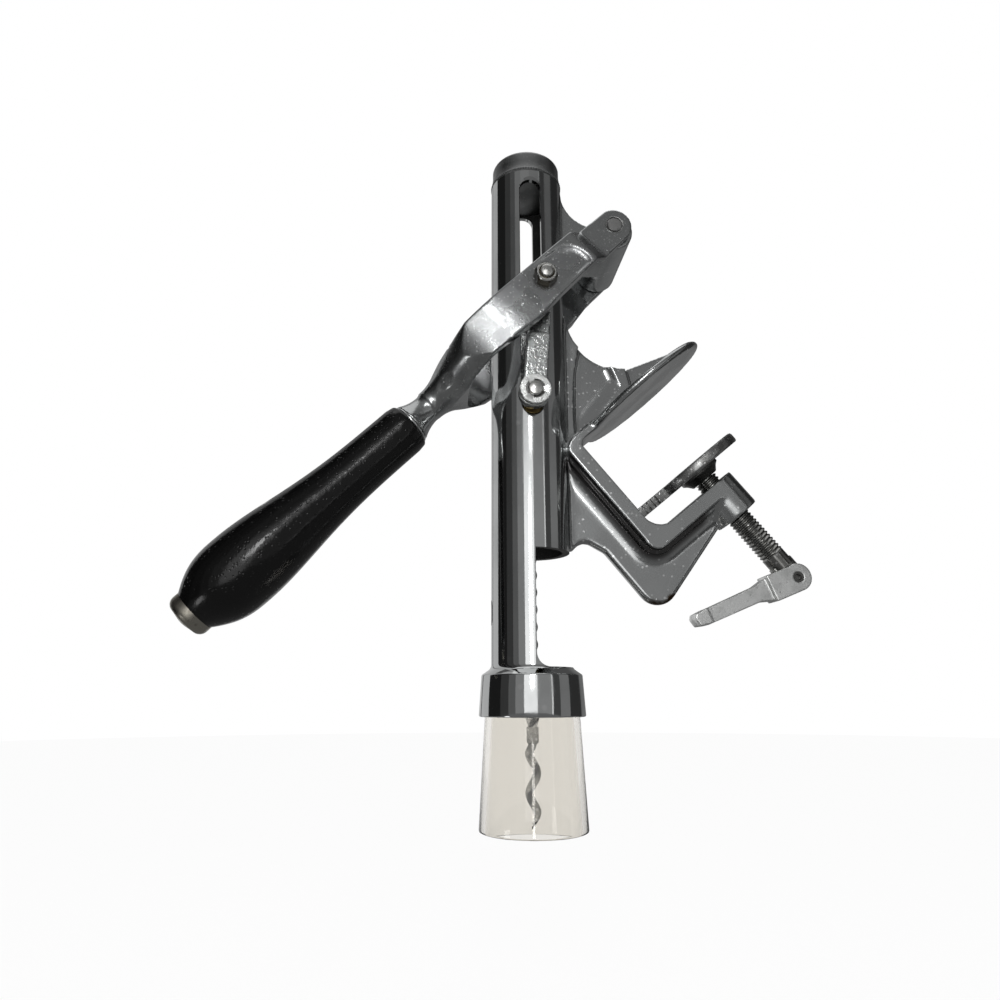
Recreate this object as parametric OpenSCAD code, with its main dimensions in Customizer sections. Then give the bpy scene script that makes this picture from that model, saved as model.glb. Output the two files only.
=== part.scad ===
// Counter mount corkscrew, in millimetres.
// It is drawn with the barrel upright, as in its picture: +Z runs up the barrel, +X points to the
// clamp and -Y to the viewer. Heights are measured from the bell's lower edge, on the barrel's axis,
// and at_seat() then moves the whole to the middle of the face that lies on the counter.

/* [Barrel] */
// Outside diameter of the barrel
barrel_d = 30; // [29:0.5:31]
// Wall of the barrel
barrel_wall = 2.7; // [2.2:0.1:3]
// Height of the barrel's upper end
barrel_top = 221; // [219:1:226]
// Diameter of the bell at its lower edge
bell_d = 39; // [38:0.5:42]
// Height of the bell
bell_h = 17.3; // [15:0.5:20]
// Height of the side window's upper edge
window_top = 60; // [50:1:65]
// Height of the top cap above the barrel
cap_h = 10.5; // [8:0.5:14]

/* [Bottle cup] */
// Length of the clear cup below the bell
cup_h = 38.5; // [32:0.5:42]
// Diameter of the cup's mouth
cup_mouth_d = 38.7; // [38:0.1:42]
// Diameter of the cup where it enters the bell
cup_neck_d = 34.6; // [34:0.1:35]
// Wall of the cup
cup_wall = 2.4; // [1.8:0.1:2.6]

/* [Lever and links] */
// Distance of the fulcrum from the barrel's axis
fulcrum_x = 33.5; // [33:0.5:35]
// Height of the fulcrum
fulcrum_z = 192.4; // [191:0.2:194]
// Angle of the lever below level at rest
lever_rest = 44.3; // [43:0.1:46]
// Angle that the lever rises
lever_travel = 135; // [125:1:136]
// Distance from the fulcrum to the link studs
stud_arm = 41.7; // [41:0.1:42.5]
// Distance between the link's two holes
link_len = 44.2; // [43.5:0.1:45]
// Thickness of the link's thin upper end
tongue_t = 1.8; // [1.6:0.1:2.2]
// Thickness of the link's lower part
link_t = 4.2; // [3.4:0.1:4.6]
// Thickness of the lever's eyes
eye_t = 3.6; // [3:0.1:4.5]
// Sideways step from the lever's eyes to its arms
arm_step = 5.8; // [5.2:0.1:6.5]
// Thickness of the lever's arms
arm_t = 5; // [4:0.1:6]
// Diameter of the fulcrum pin
fulcrum_d = 7; // [6:0.1:8]
// Diameter of the link studs
stud_d = 5; // [4:0.1:5.5]
// Diameter of the cross pin
cross_pin_d = 6; // [5:0.1:6.4]

/* [Handle] */
// Distance from the fulcrum to the start of the grip
grip_start = 114; // [112:0.5:118]
// Length of the wooden grip
grip_len = 106; // [98:1:112]
// Radius of the grip where it is thickest
grip_r = 15.1; // [13:0.1:16]
// Diameter of the steel rod in the grip
rod_d = 8; // [6:0.5:9]

/* [Spindle and worm] */
// Rise of the spindle and of the worm in one turn
lead = 13; // [12:0.5:15]
// Larger radius of the spindle's oval
spindle_r = 2.5; // [2.3:0.1:2.7]
// Smaller radius of the spindle's oval
spindle_flat = 1.75; // [1.6:0.05:2]
// Diameter of the worm's wire
wire_d = 3; // [2.4:0.1:3.2]
// Radius of the helix that the wire follows
worm_r = 1.35; // [1.2:0.05:1.6]
// Length of the worm's helix
worm_len = 28; // [24:0.5:30]
// Height of the drive nut
nut_h = 14; // [10:0.5:15]

/* [Clamp] */
// Slope of the clamp's jaws
clamp_tilt = 39.5; // [38:0.5:41]
// Distance of the clamp's back from the bell's centre, along the slope
clamp_back = 80; // [79:0.5:82]
// Height of the lower jaw's face, square to the slope
lower_jaw = 21.5; // [20.5:0.5:22.5]
// Opening from the lower arm to the upper jaw
jaw_open = 46; // [44:0.5:50]
// Distance from the clamp's back to the screw
throat = 33.2; // [32:0.2:36]
// Radius of the round upper jaw
jaw_r = 29.5; // [27:0.5:33]
// Thickness of the round upper jaw
jaw_t = 3; // [2.5:0.1:4]
// Width of the clamp's flange
flange_w = 18; // [16:0.5:19]
// Thickness of the clamp's flange
flange_t = 6; // [5:0.2:7]
// Thickness of the clamp's web
web_t = 5; // [4:0.2:7]
// Diameter of the clamp screw
screw_d = 9.5; // [9:0.1:10]
// Pitch of the clamp screw
screw_pitch = 1.5875; // [1.25:0.0125:1.75]
// Thickness of the pressure pad
pad_t = 4.2; // [3.5:0.1:5]
// Diameter of the pressure pad
pad_d = 39; // [34:0.5:44]
// Width of the pad's tongue
tongue_w = 12; // [8:0.5:16]
// Length of the thumb lever from its pivot
thumb_len = 45; // [38:0.5:45]

/* [Hidden] */
$fn = 64;
fit = 0.05;              // radial clearance of a running fit
gap = 0.2;               // clearance between faces that pass each other
eps = 0.5;               // how far a cut runs past the face that it opens

// Barrel
barrel_r = barrel_d / 2;
bore_r = barrel_r - barrel_wall;
bell_r = bell_d / 2;
bell_shoulder_r = bell_r - 0.9;
bell_chamfer = 2.8;
cup_neck_r = cup_neck_d / 2;
cup_spigot = 10;
spine_x = barrel_r + 2;  // flat face that the clamp frame stands on
spine_low = 64;
gusset_t = 9;
gusset_low = 104;
hollow = [38.7, 160.3];  // centre of the gusset's hollow upper edge
gusset_floor = 2.7;      // half the gusset's thickness between its two recesses
gusset_foot = [[1.1, 33], [1.1, 9.5], [3, 11.5], [16.4, 28.8]];  // lower corners of a recess
hollow_r = hollow[0] - barrel_r - 0.4;
hollow_end = 180 + acos((hollow[0] - spine_x) / hollow_r);
ejector_hole = [5, 9.4, 37.3];  // width, height and level of the small side hole

// Lever planes, from the barrel's side outwards
link_y = barrel_r + 0.3;
tongue_y = link_y + tongue_t;
boss_y = tongue_y;
boss_r = 8.5;
eye_y = boss_y + gap;
arm_y = eye_y + arm_step;
arm_face_y = arm_y + arm_t;
eye_r = 7.2;
eye_end = 13.5;
ramp = arm_face_y - eye_y - eye_t;
panel_depth = 0.9;
nut_seat_y = arm_face_y - panel_depth;
stud_nut = [8, 4];       // width across flats and height
stud_end_y = nut_seat_y + stud_nut[1] + 1.3;
stud_collar_r = 4;

// Carriage, at rest and at the top of its travel
function stud_at(angle) = [
    fulcrum_x - stud_arm * cos(lever_rest - angle),
    fulcrum_z - stud_arm * sin(lever_rest - angle)];
function carriage_at(angle) =
    stud_at(angle)[1] - sqrt(link_len * link_len - pow(stud_at(angle)[0], 2));
stud_x = stud_at(0)[0];
stud_z = stud_at(0)[1];
carriage_z = carriage_at(0);
carriage_top_z = carriage_at(lever_travel);
carriage_r = bore_r - fit;
carriage_low = 12;
carriage_high = 8;
slot_w = 8.8;
slot_bottom = carriage_z - slot_w / 2 - 2.6;
slot_top = min(carriage_top_z + slot_w / 2 + 6.7, barrel_top - 4);
cross_pin_y = link_y + link_t + 4;
ring_t = 1;
spacer_t = 1.6;
spacer_y = link_y + link_t + gap / 2;
ring_y = spacer_y + spacer_t;
link_w = 9;
link_eye_r = 6;
tongue_len = 19;
spacer_r = link_eye_r - 1;
ring_r = link_eye_r + 0.1;
ring_notch = [1.2, 4.3];  // width of a notch between the ring's teeth and its reach from the middle

// Spindle, counted down from the cross pin
socket_roof = cross_pin_d / 2 + 2;
washer_t = 1;
collar_t = 2.2;
collar_r = 5.2;
plug_top = socket_roof + washer_t + collar_t + 3 * fit;
journal_r = spindle_r + 0.2;
spindle_bottom = -3.5;
journal_h = carriage_low - plug_top + 0.4;
nut_top = carriage_z - carriage_low - 1.2;
nut_bottom = nut_top - nut_h;
worm_top = spindle_bottom - 5.5;
shank_r = 2.2;           // plain shank between the spindle and the worm
worm_point = 6;          // length over which the wire thins to its point
worm_spread = 4;         // length over which the wire leaves the axis
worm_start = -80;        // direction in which the wire first leaves the axis
worm_rings = 24 * ceil(worm_len / lead);

// Lever: distance from the fulcrum, height above and depth below its line, towards the handle
fork_top = [[0, 7.2], [22, 7.4], [58, 7.6], [80, 7.2], [90, 7.2], [94, 6.7], [98, 5.8], [102, 5.1]];
fork_low = [
    [102, 6.9], [98, 7.4], [94, 8], [90, 8.6], [76, 9.2], [66, 10.2], [54, 10.6], [40, 9.2],
    [22, 8.2], [0, 7.2]];
fork_straight = 72;      // the gap between the arms is straight to here
fork_corner = 17;        // radius of the corners at the gap's closed end
// Distance from the fulcrum, and the share of the arms' half width that is left there
fork_taper = [
    [58, 1], [66, 0.99], [72, 0.975], [76, 0.957], [80, 0.92], [84, 0.835], [87, 0.735],
    [90, 0.605], [94, 0.425], [98, 0.3], [102, 0.235]];
// The same for the turned shape that rounds the fork off towards the neck
fork_round = [
    [72, 1.15], [76, 1.03], [80, 0.96], [84, 0.85], [87, 0.74], [90, 0.6], [92, 0.5], [94, 0.4],
    [96, 0.33], [98, 0.285], [100, 0.256], [102, 0.238]];
fork_axis = 0.9;         // its axis lies this far below the lever's line
neck_drop = 1.3;         // and so does the neck's
panel_end = 56;          // far end of the recess in the arm's face
panel_arch = [6.2, 7];   // half width and rise of its arched end
panel_low = 8.6;

// Handle
grip_drop = 1.7;         // the grip's axis lies this far below the lever's line
neck_start = 96;
cap_end = 6.2;

// Clamp, in sloped coordinates: x along the slope, z square to it
upper_jaw = lower_jaw + jaw_open;
screw_u = clamp_back + throat;
jaw_u = screw_u + 4.2;
nose_r = 9.2;
nose_low = lower_jaw - 15.5;
pad_top = lower_jaw + 11.8;
pad_low = pad_top - pad_t;
socket_h = 4;
socket_r = [5.8, 8.6];   // radii of the pad's socket, below and above
head_r = screw_d / 2 - 0.35;
head_t = 1.9;
head_neck_r = head_r - 1;
plain_r = screw_d / 2 - 0.1;  // radius of the screw's plain shank and of its tang
screw_top = pad_low - socket_h - gap;
thread_low = nose_low - 20.5;
shank_low = thread_low - 4.5;
thumb_n = thread_low - 11.9;
thumb_pin_d = 4.2;
thumb_rest = 17.5;       // slope of the thumb lever against the pad
tang_t = 4.8;
thumb_y = 4.6;
thumb_eye_r = 5.4;
thumb_cheek = 12;        // length of the forked part
thumb_arm_t = 6;
thumb_tip_t = 8;
thumb_slot = 7.2;        // depth of the fork behind the pivot
seat = [jaw_u * cos(clamp_tilt) - upper_jaw * sin(clamp_tilt),
        jaw_u * sin(clamp_tilt) + upper_jaw * cos(clamp_tilt)];

// ---- Helpers ----

// Moves the drawing so that its origin lies in the middle of the counter seat
module at_seat() translate([-seat[0], 0, -seat[1]]) children();

// Places what is drawn along the clamp's slope
module sloped() at_seat() slope() children();

// Leans upright things over to the clamp's slope
module slope() rotate([0, -clamp_tilt, 0]) children();

// Places what is drawn on a level lever with its fulcrum at the origin and its handle towards -X
module on_lever() at_seat() translate([fulcrum_x, 0, fulcrum_z]) rotate([0, -lever_rest, 0]) children();

// Places what is drawn around the cross pin
module on_carriage() at_seat() translate([0, 0, carriage_z]) children();

// Turns an outline drawn as x, z into a plate of a thickness about the middle plane
module plate(t) rotate([90, 0, 0]) linear_extrude(height = t, center = true) children();

// Repeats a piece on both sides of the middle plane
module both_sides() {
    children();
    mirror([0, 1, 0]) children();
}

// A round bar along Y from y0 to y1
module bar_y(r, y0, y1) translate([0, y1, 0]) rotate([90, 0, 0]) cylinder(r = r, h = y1 - y0);

// Points of an arc about a centre
function arc(c, r, a0, a1, n = 12) =
    [for (i = [0:n]) let (a = a0 + (a1 - a0) * i / n) [c[0] + r * cos(a), c[1] + r * sin(a)]];

// A point of the sloped frame in upright coordinates
function sloped_point(u, n) =
    [u * cos(clamp_tilt) - n * sin(clamp_tilt), u * sin(clamp_tilt) + n * cos(clamp_tilt)];

// ---- Casting ----

// Barrel with its bell, its two slots, the side window and the bracket that carries the lever
module barrel() color("silver") at_seat() difference() {
    union() {
        cylinder(r = barrel_r, h = barrel_top, $fn = 96);
        rotate_extrude($fn = 96) polygon([
            [0, 0], [bell_r, 0], [bell_shoulder_r, bell_h - bell_chamfer],
            [barrel_r - 0.1, bell_h], [0, bell_h]]);
        fulcrum_bracket();
        translate([0, -web_t / 2, spine_low])
            cube([spine_x, web_t, gusset_low + 1 - spine_low]);
        intersection() {
            slope() plate(flange_w) flange();
            translate([0, -flange_w, spine_low]) cube([spine_x, 2 * flange_w, barrel_top]);
        }
        plate(gusset_t) polygon(concat(
            [[0, gusset_low], [spine_x, gusset_low]], arc(hollow, hollow_r, hollow_end, 180, 6),
            [[0, hollow[1]]]));
    }
    translate([0, 0, -eps]) cylinder(r = bore_r, h = barrel_top + 2 * eps, $fn = 96);
    translate([0, 0, -eps]) cylinder(r = cup_neck_r + fit, h = cup_spigot + fit + eps, $fn = 96);
    side_window();
    slot_cut();
    translate([-barrel_r, 0, ejector_hole[2]]) rotate([0, 90, 0]) slotted_hole(
        ejector_hole[0], ejector_hole[1], 2 * barrel_wall + 4);
    translate([fulcrum_x, 0, fulcrum_z]) bar_y(fulcrum_d / 2 + fit, -boss_y - eps, boss_y + eps);
    translate([0, 0, (nut_top + nut_bottom) / 2]) bar_y(2 + fit, 0, barrel_r + eps);
}

// Bracket on the barrel's side: a web with hollow flanks and a round boss for the fulcrum pin
module fulcrum_bracket() {
    hollow_top = [31, fulcrum_z + 25.4];
    hollow_top_r = 16.6;
    hollow_low = [28, fulcrum_z - 21.4];
    plate(11) polygon(concat(
        [[barrel_r - 2, barrel_top - 1], [hollow_top[0] - hollow_top_r, barrel_top - 1]],
        arc(hollow_top, hollow_top_r, 180, 270),
        [[fulcrum_x + 4, fulcrum_z + boss_r - 1], [fulcrum_x, fulcrum_z - boss_r + 0.5]],
        arc(hollow_low, 13, 90, 180),
        [[barrel_r - 2, hollow_low[1]]]));
    translate([fulcrum_x, 0, fulcrum_z]) bar_y(boss_r, -boss_y, boss_y);
}

// Long guide slots through the front and the rear of the barrel
module slot_cut() {
    slot_len = slot_top - slot_bottom - slot_w;
    translate([0, 0, slot_bottom + slot_w / 2]) {
        bar_y(slot_w / 2, -barrel_d, barrel_d);
        translate([-slot_w / 2, -barrel_d, 0]) cube([slot_w, 2 * barrel_d, slot_len]);
        translate([0, 0, slot_len]) bar_y(slot_w / 2, -barrel_d, barrel_d);
    }
}

// The right half of the barrel is cut away above the bell, with a round corner at the foot
module side_window() {
    corner = 5;
    plate(2 * barrel_d) polygon(concat(
        [[0, window_top], [0, bell_h + corner]],
        arc([corner, bell_h + corner], corner, 180, 270),
        [[barrel_d, bell_h], [barrel_d, window_top]]));
}

// A hole with round ends, cut along Z from the origin, with its length along X
module slotted_hole(w, len, depth) {
    half = (len - w) / 2;
    translate([-half, 0, 0]) cylinder(r = w / 2, h = depth);
    translate([half, 0, 0]) cylinder(r = w / 2, h = depth);
    translate([-half, -w / 2, 0]) cube([2 * half, w, depth]);
}

// Clamp frame: gusset, round upper jaw with its rib, flanged arm and the screw's nose
module clamp_frame() color("silver") difference() {
    union() {
        at_seat() plate(web_t) frame_web();
        at_seat() plate(gusset_t) gusset();
        sloped() {
            plate(flange_w) flange();
            translate([jaw_u, 0, upper_jaw]) cylinder(r = jaw_r, h = jaw_t, $fn = 96);
            plate(4) jaw_rib();
            translate([screw_u, 0, nose_low]) cylinder(r = nose_r, h = lower_jaw - nose_low);
        }
    }
    at_seat() both_sides() translate([0, -gusset_floor - 2, 0]) plate(4) gusset_panel();
    sloped() translate([screw_u, 0, nose_low - eps])
        cylinder(r = screw_d / 2 + fit, h = lower_jaw - nose_low + 2 * eps);
    at_seat() translate([0, -flange_w, 0]) cube([spine_x, 2 * flange_w, barrel_top]);
}

// Thin web between the barrel and the flange, down to the rounded heel
module frame_web() {
    heel = [clamp_back - 11.2, lower_jaw - 15];
    heel_r = 8;
    polygon(concat(
        [[spine_x - 1, spine_low], [spine_x + 8, spine_low], sloped_point(clamp_back - 19.2, lower_jaw + 7)],
        [for (p = arc(heel, heel_r, 180, 286)) sloped_point(p[0], p[1])],
        [sloped_point(screw_u - nose_r + 1.5, lower_jaw - 13.8),
         sloped_point(screw_u - nose_r + 1.5, lower_jaw - flange_t / 2),
         sloped_point(clamp_back - flange_t / 2, lower_jaw - flange_t / 2),
         sloped_point(clamp_back - flange_t / 2, upper_jaw),
         [spine_x - 1, hollow[1] - 28]]));
}

// Gusset between the barrel and the upper jaw, hollow along its upper edge
module gusset() polygon(concat(
    [[spine_x - 1, gusset_low], sloped_point(clamp_back - flange_t / 2, upper_jaw - 4),
     sloped_point(clamp_back + 6, upper_jaw + 1), sloped_point(clamp_back + 31.5, upper_jaw + 1)],
    arc(hollow, hollow_r, 272, 182)));

// Outline of the recess in each side of the gusset, along its hollow edge
module gusset_panel() polygon(concat(
    arc(hollow, hollow_r + 1.3, 250, 214), [for (p = gusset_foot) [spine_x + p[0], gusset_low + p[1]]]));

// Flange that runs round the inside of the clamp's opening, in sloped coordinates
module flange() {
    inner = 8;
    outer = 5;
    left = clamp_back - flange_t;
    low = lower_jaw - flange_t;
    polygon(concat(
        [[screw_u, lower_jaw], [screw_u, low]],
        arc([left + outer, low + outer], outer, 270, 180),
        arc([left + outer, upper_jaw + jaw_t - outer], outer, 180, 90),
        [[clamp_back + 12, upper_jaw + jaw_t], [clamp_back + 12, upper_jaw]],
        arc([clamp_back + 3, upper_jaw - 3], 3, 90, 180),
        arc([clamp_back + inner, lower_jaw + inner], inner, 180, 270)));
}

// Rib that stiffens the upper jaw, falling towards its tip
module jaw_rib() polygon([
    [clamp_back + 6, upper_jaw + 1], [jaw_u + jaw_r - 1, upper_jaw + 1],
    [jaw_u + jaw_r - 1, upper_jaw + jaw_t + 2], [clamp_back + 38, upper_jaw + 13]]);

// ---- Barrel fittings ----

// Cap that closes the barrel, with a spigot in the bore
module top_cap() color("silver") at_seat() translate([0, 0, barrel_top]) {
    rotate_extrude($fn = 96) polygon([
        [0, 0], [barrel_r + 0.2, 0], [barrel_r + 0.2, 1.6], [barrel_r - 0.2, 2],
        [barrel_r - 1.1, cap_h - 1], [barrel_r - 2.1, cap_h], [0, cap_h]]);
    translate([0, 0, -3]) cylinder(r = bore_r - fit, h = 3 + eps);
}

// Clear cup that guides the bottle's neck, with a ledge inside that stops its rim
module bottle_cup() color("lightgray", 0.35) at_seat() rotate_extrude($fn = 96) {
    mouth_r = cup_mouth_d / 2;
    ledge_low = 2;
    ledge_high = 4.5;
    ledge_r = bore_r + 0.3;
    inner = cup_neck_r - cup_wall;
    polygon([
        [mouth_r, -cup_h], [cup_neck_r, 0], [cup_neck_r, cup_spigot], [inner, cup_spigot],
        [inner, ledge_high], [ledge_r, ledge_high], [ledge_r, ledge_low], [inner, ledge_low],
        [inner, 0], [mouth_r - cup_wall, -cup_h]]);
}

// Nut with a twisted oval hole that turns the spindle as it passes
module drive_nut() color("goldenrod") at_seat() difference() {
    translate([0, 0, nut_bottom]) cylinder(r = bore_r - fit, h = nut_h);
    spiral(nut_bottom - eps, nut_top + eps, 0.25);
    translate([0, 0, (nut_top + nut_bottom) / 2]) bar_y(2 + fit, 7, barrel_d);
}

// Set screw through the rear wall that holds the drive nut
module nut_set_screw() color("dimgray") at_seat() translate([0, 0, (nut_top + nut_bottom) / 2])
    difference() {
        bar_y(2, 7.2, barrel_r);
        translate([0, barrel_r - 1.5, 0]) rotate([-90, 0, 0]) cylinder(r = 1.15, h = 3, $fn = 6);
    }

// Pin that the lever turns on, set flush with the lever's eyes
module fulcrum_pin() color("gray") at_seat() translate([fulcrum_x, 0, fulcrum_z])
    bar_y(fulcrum_d / 2, -eye_y - eye_t - 0.3, eye_y + eye_t + 0.3);

// ---- Lever ----

// Fork that straddles the barrel: two eyes, two stepped arms and a round neck
module lever_fork() color("gainsboro") on_lever() difference() {
    union() {
        intersection() {
            plate(2 * arm_face_y) fork_side();
            translate([0, 0, -20]) linear_extrude(height = 40) fork_plan();
            translate([0, 0, -fork_axis]) rotate([0, -90, 0]) fork_shoulder();
        }
        translate([-grip_start, 0, -neck_drop]) rotate([0, 90, 0]) fork_neck();
    }
    bar_y(fulcrum_d / 2 + fit, -2 * arm_face_y, 2 * arm_face_y);
    translate([-stud_arm, 0, 0]) bar_y(stud_d / 2, -2 * arm_face_y, 2 * arm_face_y);
    both_sides() translate([0, -nut_seat_y - 2, 0]) plate(4) fork_panel();
    translate([-grip_start - eps, 0, -grip_drop]) rotate([0, 90, 0])
        cylinder(r = rod_d / 2, h = grip_start - neck_start + eps);
}

// Side outline of the fork
module fork_side() {
    circle(r = eye_r);
    polygon(concat([for (p = fork_top) [-p[0], p[1]]], [for (p = fork_low) [-p[0], -p[1]]]));
}

// Plan of the fork: the eyes stand close to the bracket, the arms stand out past the links
module fork_plan() {
    outer = [for (p = fork_taper) [-p[0], p[1] * arm_face_y]];
    middle = arm_y - fork_corner;
    inner = concat(
        [[-fork_straight - fork_corner, 0]],
        [for (a = [90:-10:0]) [-fork_straight - fork_corner * sin(a), middle + fork_corner * cos(a)]]);
    both_sides() polygon(concat(
        [[eye_r + 1, eye_y], [eye_r + 1, eye_y + eye_t], [-eye_end, eye_y + eye_t],
         [-eye_end - ramp, arm_face_y]],
        outer, [[-neck_start - 6, 0]], inner,
        [[-eye_end + 1 - arm_step, arm_y], [-eye_end + 1, eye_y]]));
}

// Turned shape that rounds the fork off towards the neck, drawn up from the fulcrum
module fork_shoulder() {
    first = fork_round[0];
    last = fork_round[len(fork_round) - 1];
    rotate_extrude() polygon(concat(
        [[0, -2 * eye_r], [first[1] * arm_face_y, -2 * eye_r]],
        [for (p = fork_round) [p[1] * arm_face_y, p[0]]], [[0, last[0]]]));
}

// Round neck from the fork to the grip, drawn along its own axis from the grip's start
module fork_neck() {
    length = grip_start - neck_start;
    rotate_extrude() polygon([
        [0, 0], [8.2, 0], [7.4, 2], [6.4, 5], [5.9, 8], [5.9, 11], [6.3, length - 4], [6.7, length - 2],
        [6, length + 1], [0, length + 1]]);
}

// Outline of the shallow recess in each arm's outer face, arched towards the eye
module fork_panel() {
    first = eye_end + ramp + 2 + panel_arch[1];
    polygon(concat(
        [for (a = [90:15:270]) [-first - panel_arch[0] * cos(a), panel_arch[0] * sin(a) - 0.2]],
        [[-panel_end, -panel_low], [-panel_end, panel_arch[0]]]));
}

// Steel rod that runs from the neck through the grip to the end cap
module handle_rod() color("gray") on_lever()
    translate([-grip_start - grip_len - 4, 0, -grip_drop]) rotate([0, 90, 0])
        cylinder(r = rod_d / 2, h = grip_len + grip_start - neck_start + 2);

// Thin steel ferrule between the neck and the grip
module grip_ferrule() color("silver") on_lever()
    translate([-grip_start - 2.4, 0, -grip_drop]) rotate([0, 90, 0]) difference() {
        cylinder(r = 8.3, h = 2.4);
        translate([0, 0, -eps]) cylinder(r = rod_d / 2 + fit, h = 2.4 + 2 * eps);
    }

// Turned wooden grip
module handle_grip() color([0.05, 0.05, 0.05]) on_lever()
    translate([-grip_start - 2.4, 0, -grip_drop]) rotate([0, -90, 0]) difference() {
        rotate_extrude($fn = 96) polygon(concat(
            [[0, 0], [8.6, 0], [9.6, 2.2]],
            [for (i = [1:18]) let (f = i / 18) [grip_radius(f), 2.2 + (grip_len - 4.6) * f]],
            [[0, grip_len - 2.4]]));
        translate([0, 0, -eps]) cylinder(r = rod_d / 2 + fit, h = grip_len + 2 * eps);
    }

// Radius of the grip at a fraction of its length: slim at the neck, full near the end
function grip_radius(f) =
    f < 0.78
        ? 10.1 + (grip_r - 10.1) * (1 - cos(180 * pow(f / 0.78, 1.7))) / 2
        : 8.5 + (grip_r - 8.5) * cos(90 * pow((f - 0.78) / 0.22, 1.5));

// Domed steel cap on the rod's end
module end_cap() color("silver") on_lever()
    translate([-grip_start - grip_len, 0, -grip_drop]) rotate([0, -90, 0]) difference() {
        rotate_extrude() polygon(concat(
            [[0, 0], [8.6, 0], [8.6, 1.6]],
            [for (a = [0:15:90]) [5.6 + 3 * cos(a), 2 + 3 * sin(a)]], [[0, cap_end]]));
        translate([0, 0, -eps]) cylinder(r = rod_d / 2 + fit, h = 4.2 + eps);
    }

// Shouldered studs at the arms' inner faces, threaded outside for their nuts
module lever_studs() color("darkgray") on_lever() translate([-stud_arm, 0, 0]) both_sides() {
    bar_y(stud_d / 2 - fit, arm_y - eps, stud_end_y);
    bar_y(stud_collar_r, tongue_y + gap, arm_y);
}

// Hexagon nuts on the studs
module stud_nuts() color("darkgray") on_lever() translate([-stud_arm, 0, 0]) both_sides()
    difference() {
        translate([0, nut_seat_y, 0]) rotate([-90, 30, 0])
            cylinder(r = stud_nut[0] / 2 / cos(30), h = stud_nut[1], $fn = 6);
        bar_y(stud_d / 2, 0, 2 * barrel_d);
    }

// ---- Links and carriage ----

// One link on the +Y side, with its lower hole at the origin and its upper hole straight above
module link() difference() {
    union() {
        bar_y(link_eye_r, link_y, link_y + link_t);
        translate([-link_w / 2, link_y, 0]) cube([link_w, link_t, link_len - tongue_len]);
        translate([-link_w / 2, link_y, 0]) cube([link_w, tongue_t, link_len]);
        translate([0, 0, link_len]) bar_y(link_w / 2, link_y, tongue_y);
    }
    bar_y(cross_pin_d / 2 + fit, link_y - eps, link_y + link_t + eps);
    translate([0, 0, link_len]) bar_y(stud_d / 2, link_y - eps, tongue_y + eps);
}

// Leans what stands on the cross pin over to the lever's stud
module leaning() on_carriage() rotate([0, asin(stud_x / link_len), 0]) children();

module link_rear() color("darkgray") leaning() link();

module link_front() color("darkgray") leaning() mirror([0, 1, 0]) link();

// Ends of the lever's studs that turn in the links' upper holes
module link_journals() color("darkgray") leaning() both_sides()
    translate([0, 0, link_len]) bar_y(stud_d / 2, link_y, tongue_y);

// Carriage that slides in the bore, bored for the cross pin and for the spindle's head
module carriage() color("goldenrod") on_carriage() difference() {
    translate([0, 0, -carriage_low]) cylinder(r = carriage_r, h = carriage_low + carriage_high);
    bar_y(cross_pin_d / 2, -barrel_r, barrel_r);
    translate([0, 0, -carriage_low - eps])
        cylinder(r = collar_r + 0.3, h = carriage_low - socket_roof + eps);
}

// Cross pin through the slots, the carriage and both links
module cross_pin() color("silver") on_carriage() bar_y(cross_pin_d / 2 - fit, -cross_pin_y, cross_pin_y);

// Spacers between the links and the retaining rings
module link_spacers() color("gray") on_carriage() both_sides() difference() {
    bar_y(spacer_r, spacer_y, ring_y);
    bar_y(cross_pin_d / 2, spacer_y - eps, ring_y + eps);
}

// Push-on rings with inner teeth that hold the links on the cross pin
module retaining_rings() color("silver") on_carriage() both_sides() difference() {
    bar_y(ring_r, ring_y, ring_y + ring_t);
    bar_y(cross_pin_d / 2, ring_y - eps, ring_y + ring_t + eps);
    for (a = [0:60:300]) rotate([0, a, 0])
        translate([-ring_notch[0] / 2, ring_y - eps, 0])
            cube([ring_notch[0], ring_t + 2 * eps, ring_notch[1]]);
}

// Thrust washer above the spindle's collar
module thrust_washer() color("gray") on_carriage()
    translate([0, 0, -socket_roof - washer_t]) cylinder(r = collar_r, h = washer_t);

// Ring pressed in under the spindle's collar
module spindle_plug() color("gray") on_carriage() difference() {
    translate([0, 0, -carriage_low]) cylinder(r = collar_r + 0.3, h = carriage_low - plug_top);
    translate([0, 0, -carriage_low - eps]) cylinder(r = journal_r + fit, h = carriage_low);
}

// Twisted oval bar from height z0 to z1, grown by a clearance
module spiral(z0, z1, grow = 0) {
    turns = (z1 - z0) / lead;
    translate([0, 0, z0]) rotate(360 * z0 / lead)
        linear_extrude(height = z1 - z0, twist = -360 * turns, slices = ceil(14 * turns), $fn = 14)
            polygon([for (a = [0:360 / 14:359])
                [(spindle_r + grow) * cos(a), (spindle_flat + grow) * sin(a)]]);
}

// Spindle: twisted oval bar with a plain journal and a collar at its head
module spindle() color("silver") at_seat() difference() {
    journal_z = carriage_z - plug_top - journal_h;
    union() {
        spiral(spindle_bottom, journal_z);
        translate([0, 0, journal_z]) cylinder(r = journal_r, h = journal_h + 2 * fit);
        translate([0, 0, carriage_z - plug_top + fit]) cylinder(r = collar_r, h = collar_t);
    }
    translate([0, 0, spindle_bottom - eps]) cylinder(r = wire_d / 2, h = 8 + eps);
}

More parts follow.
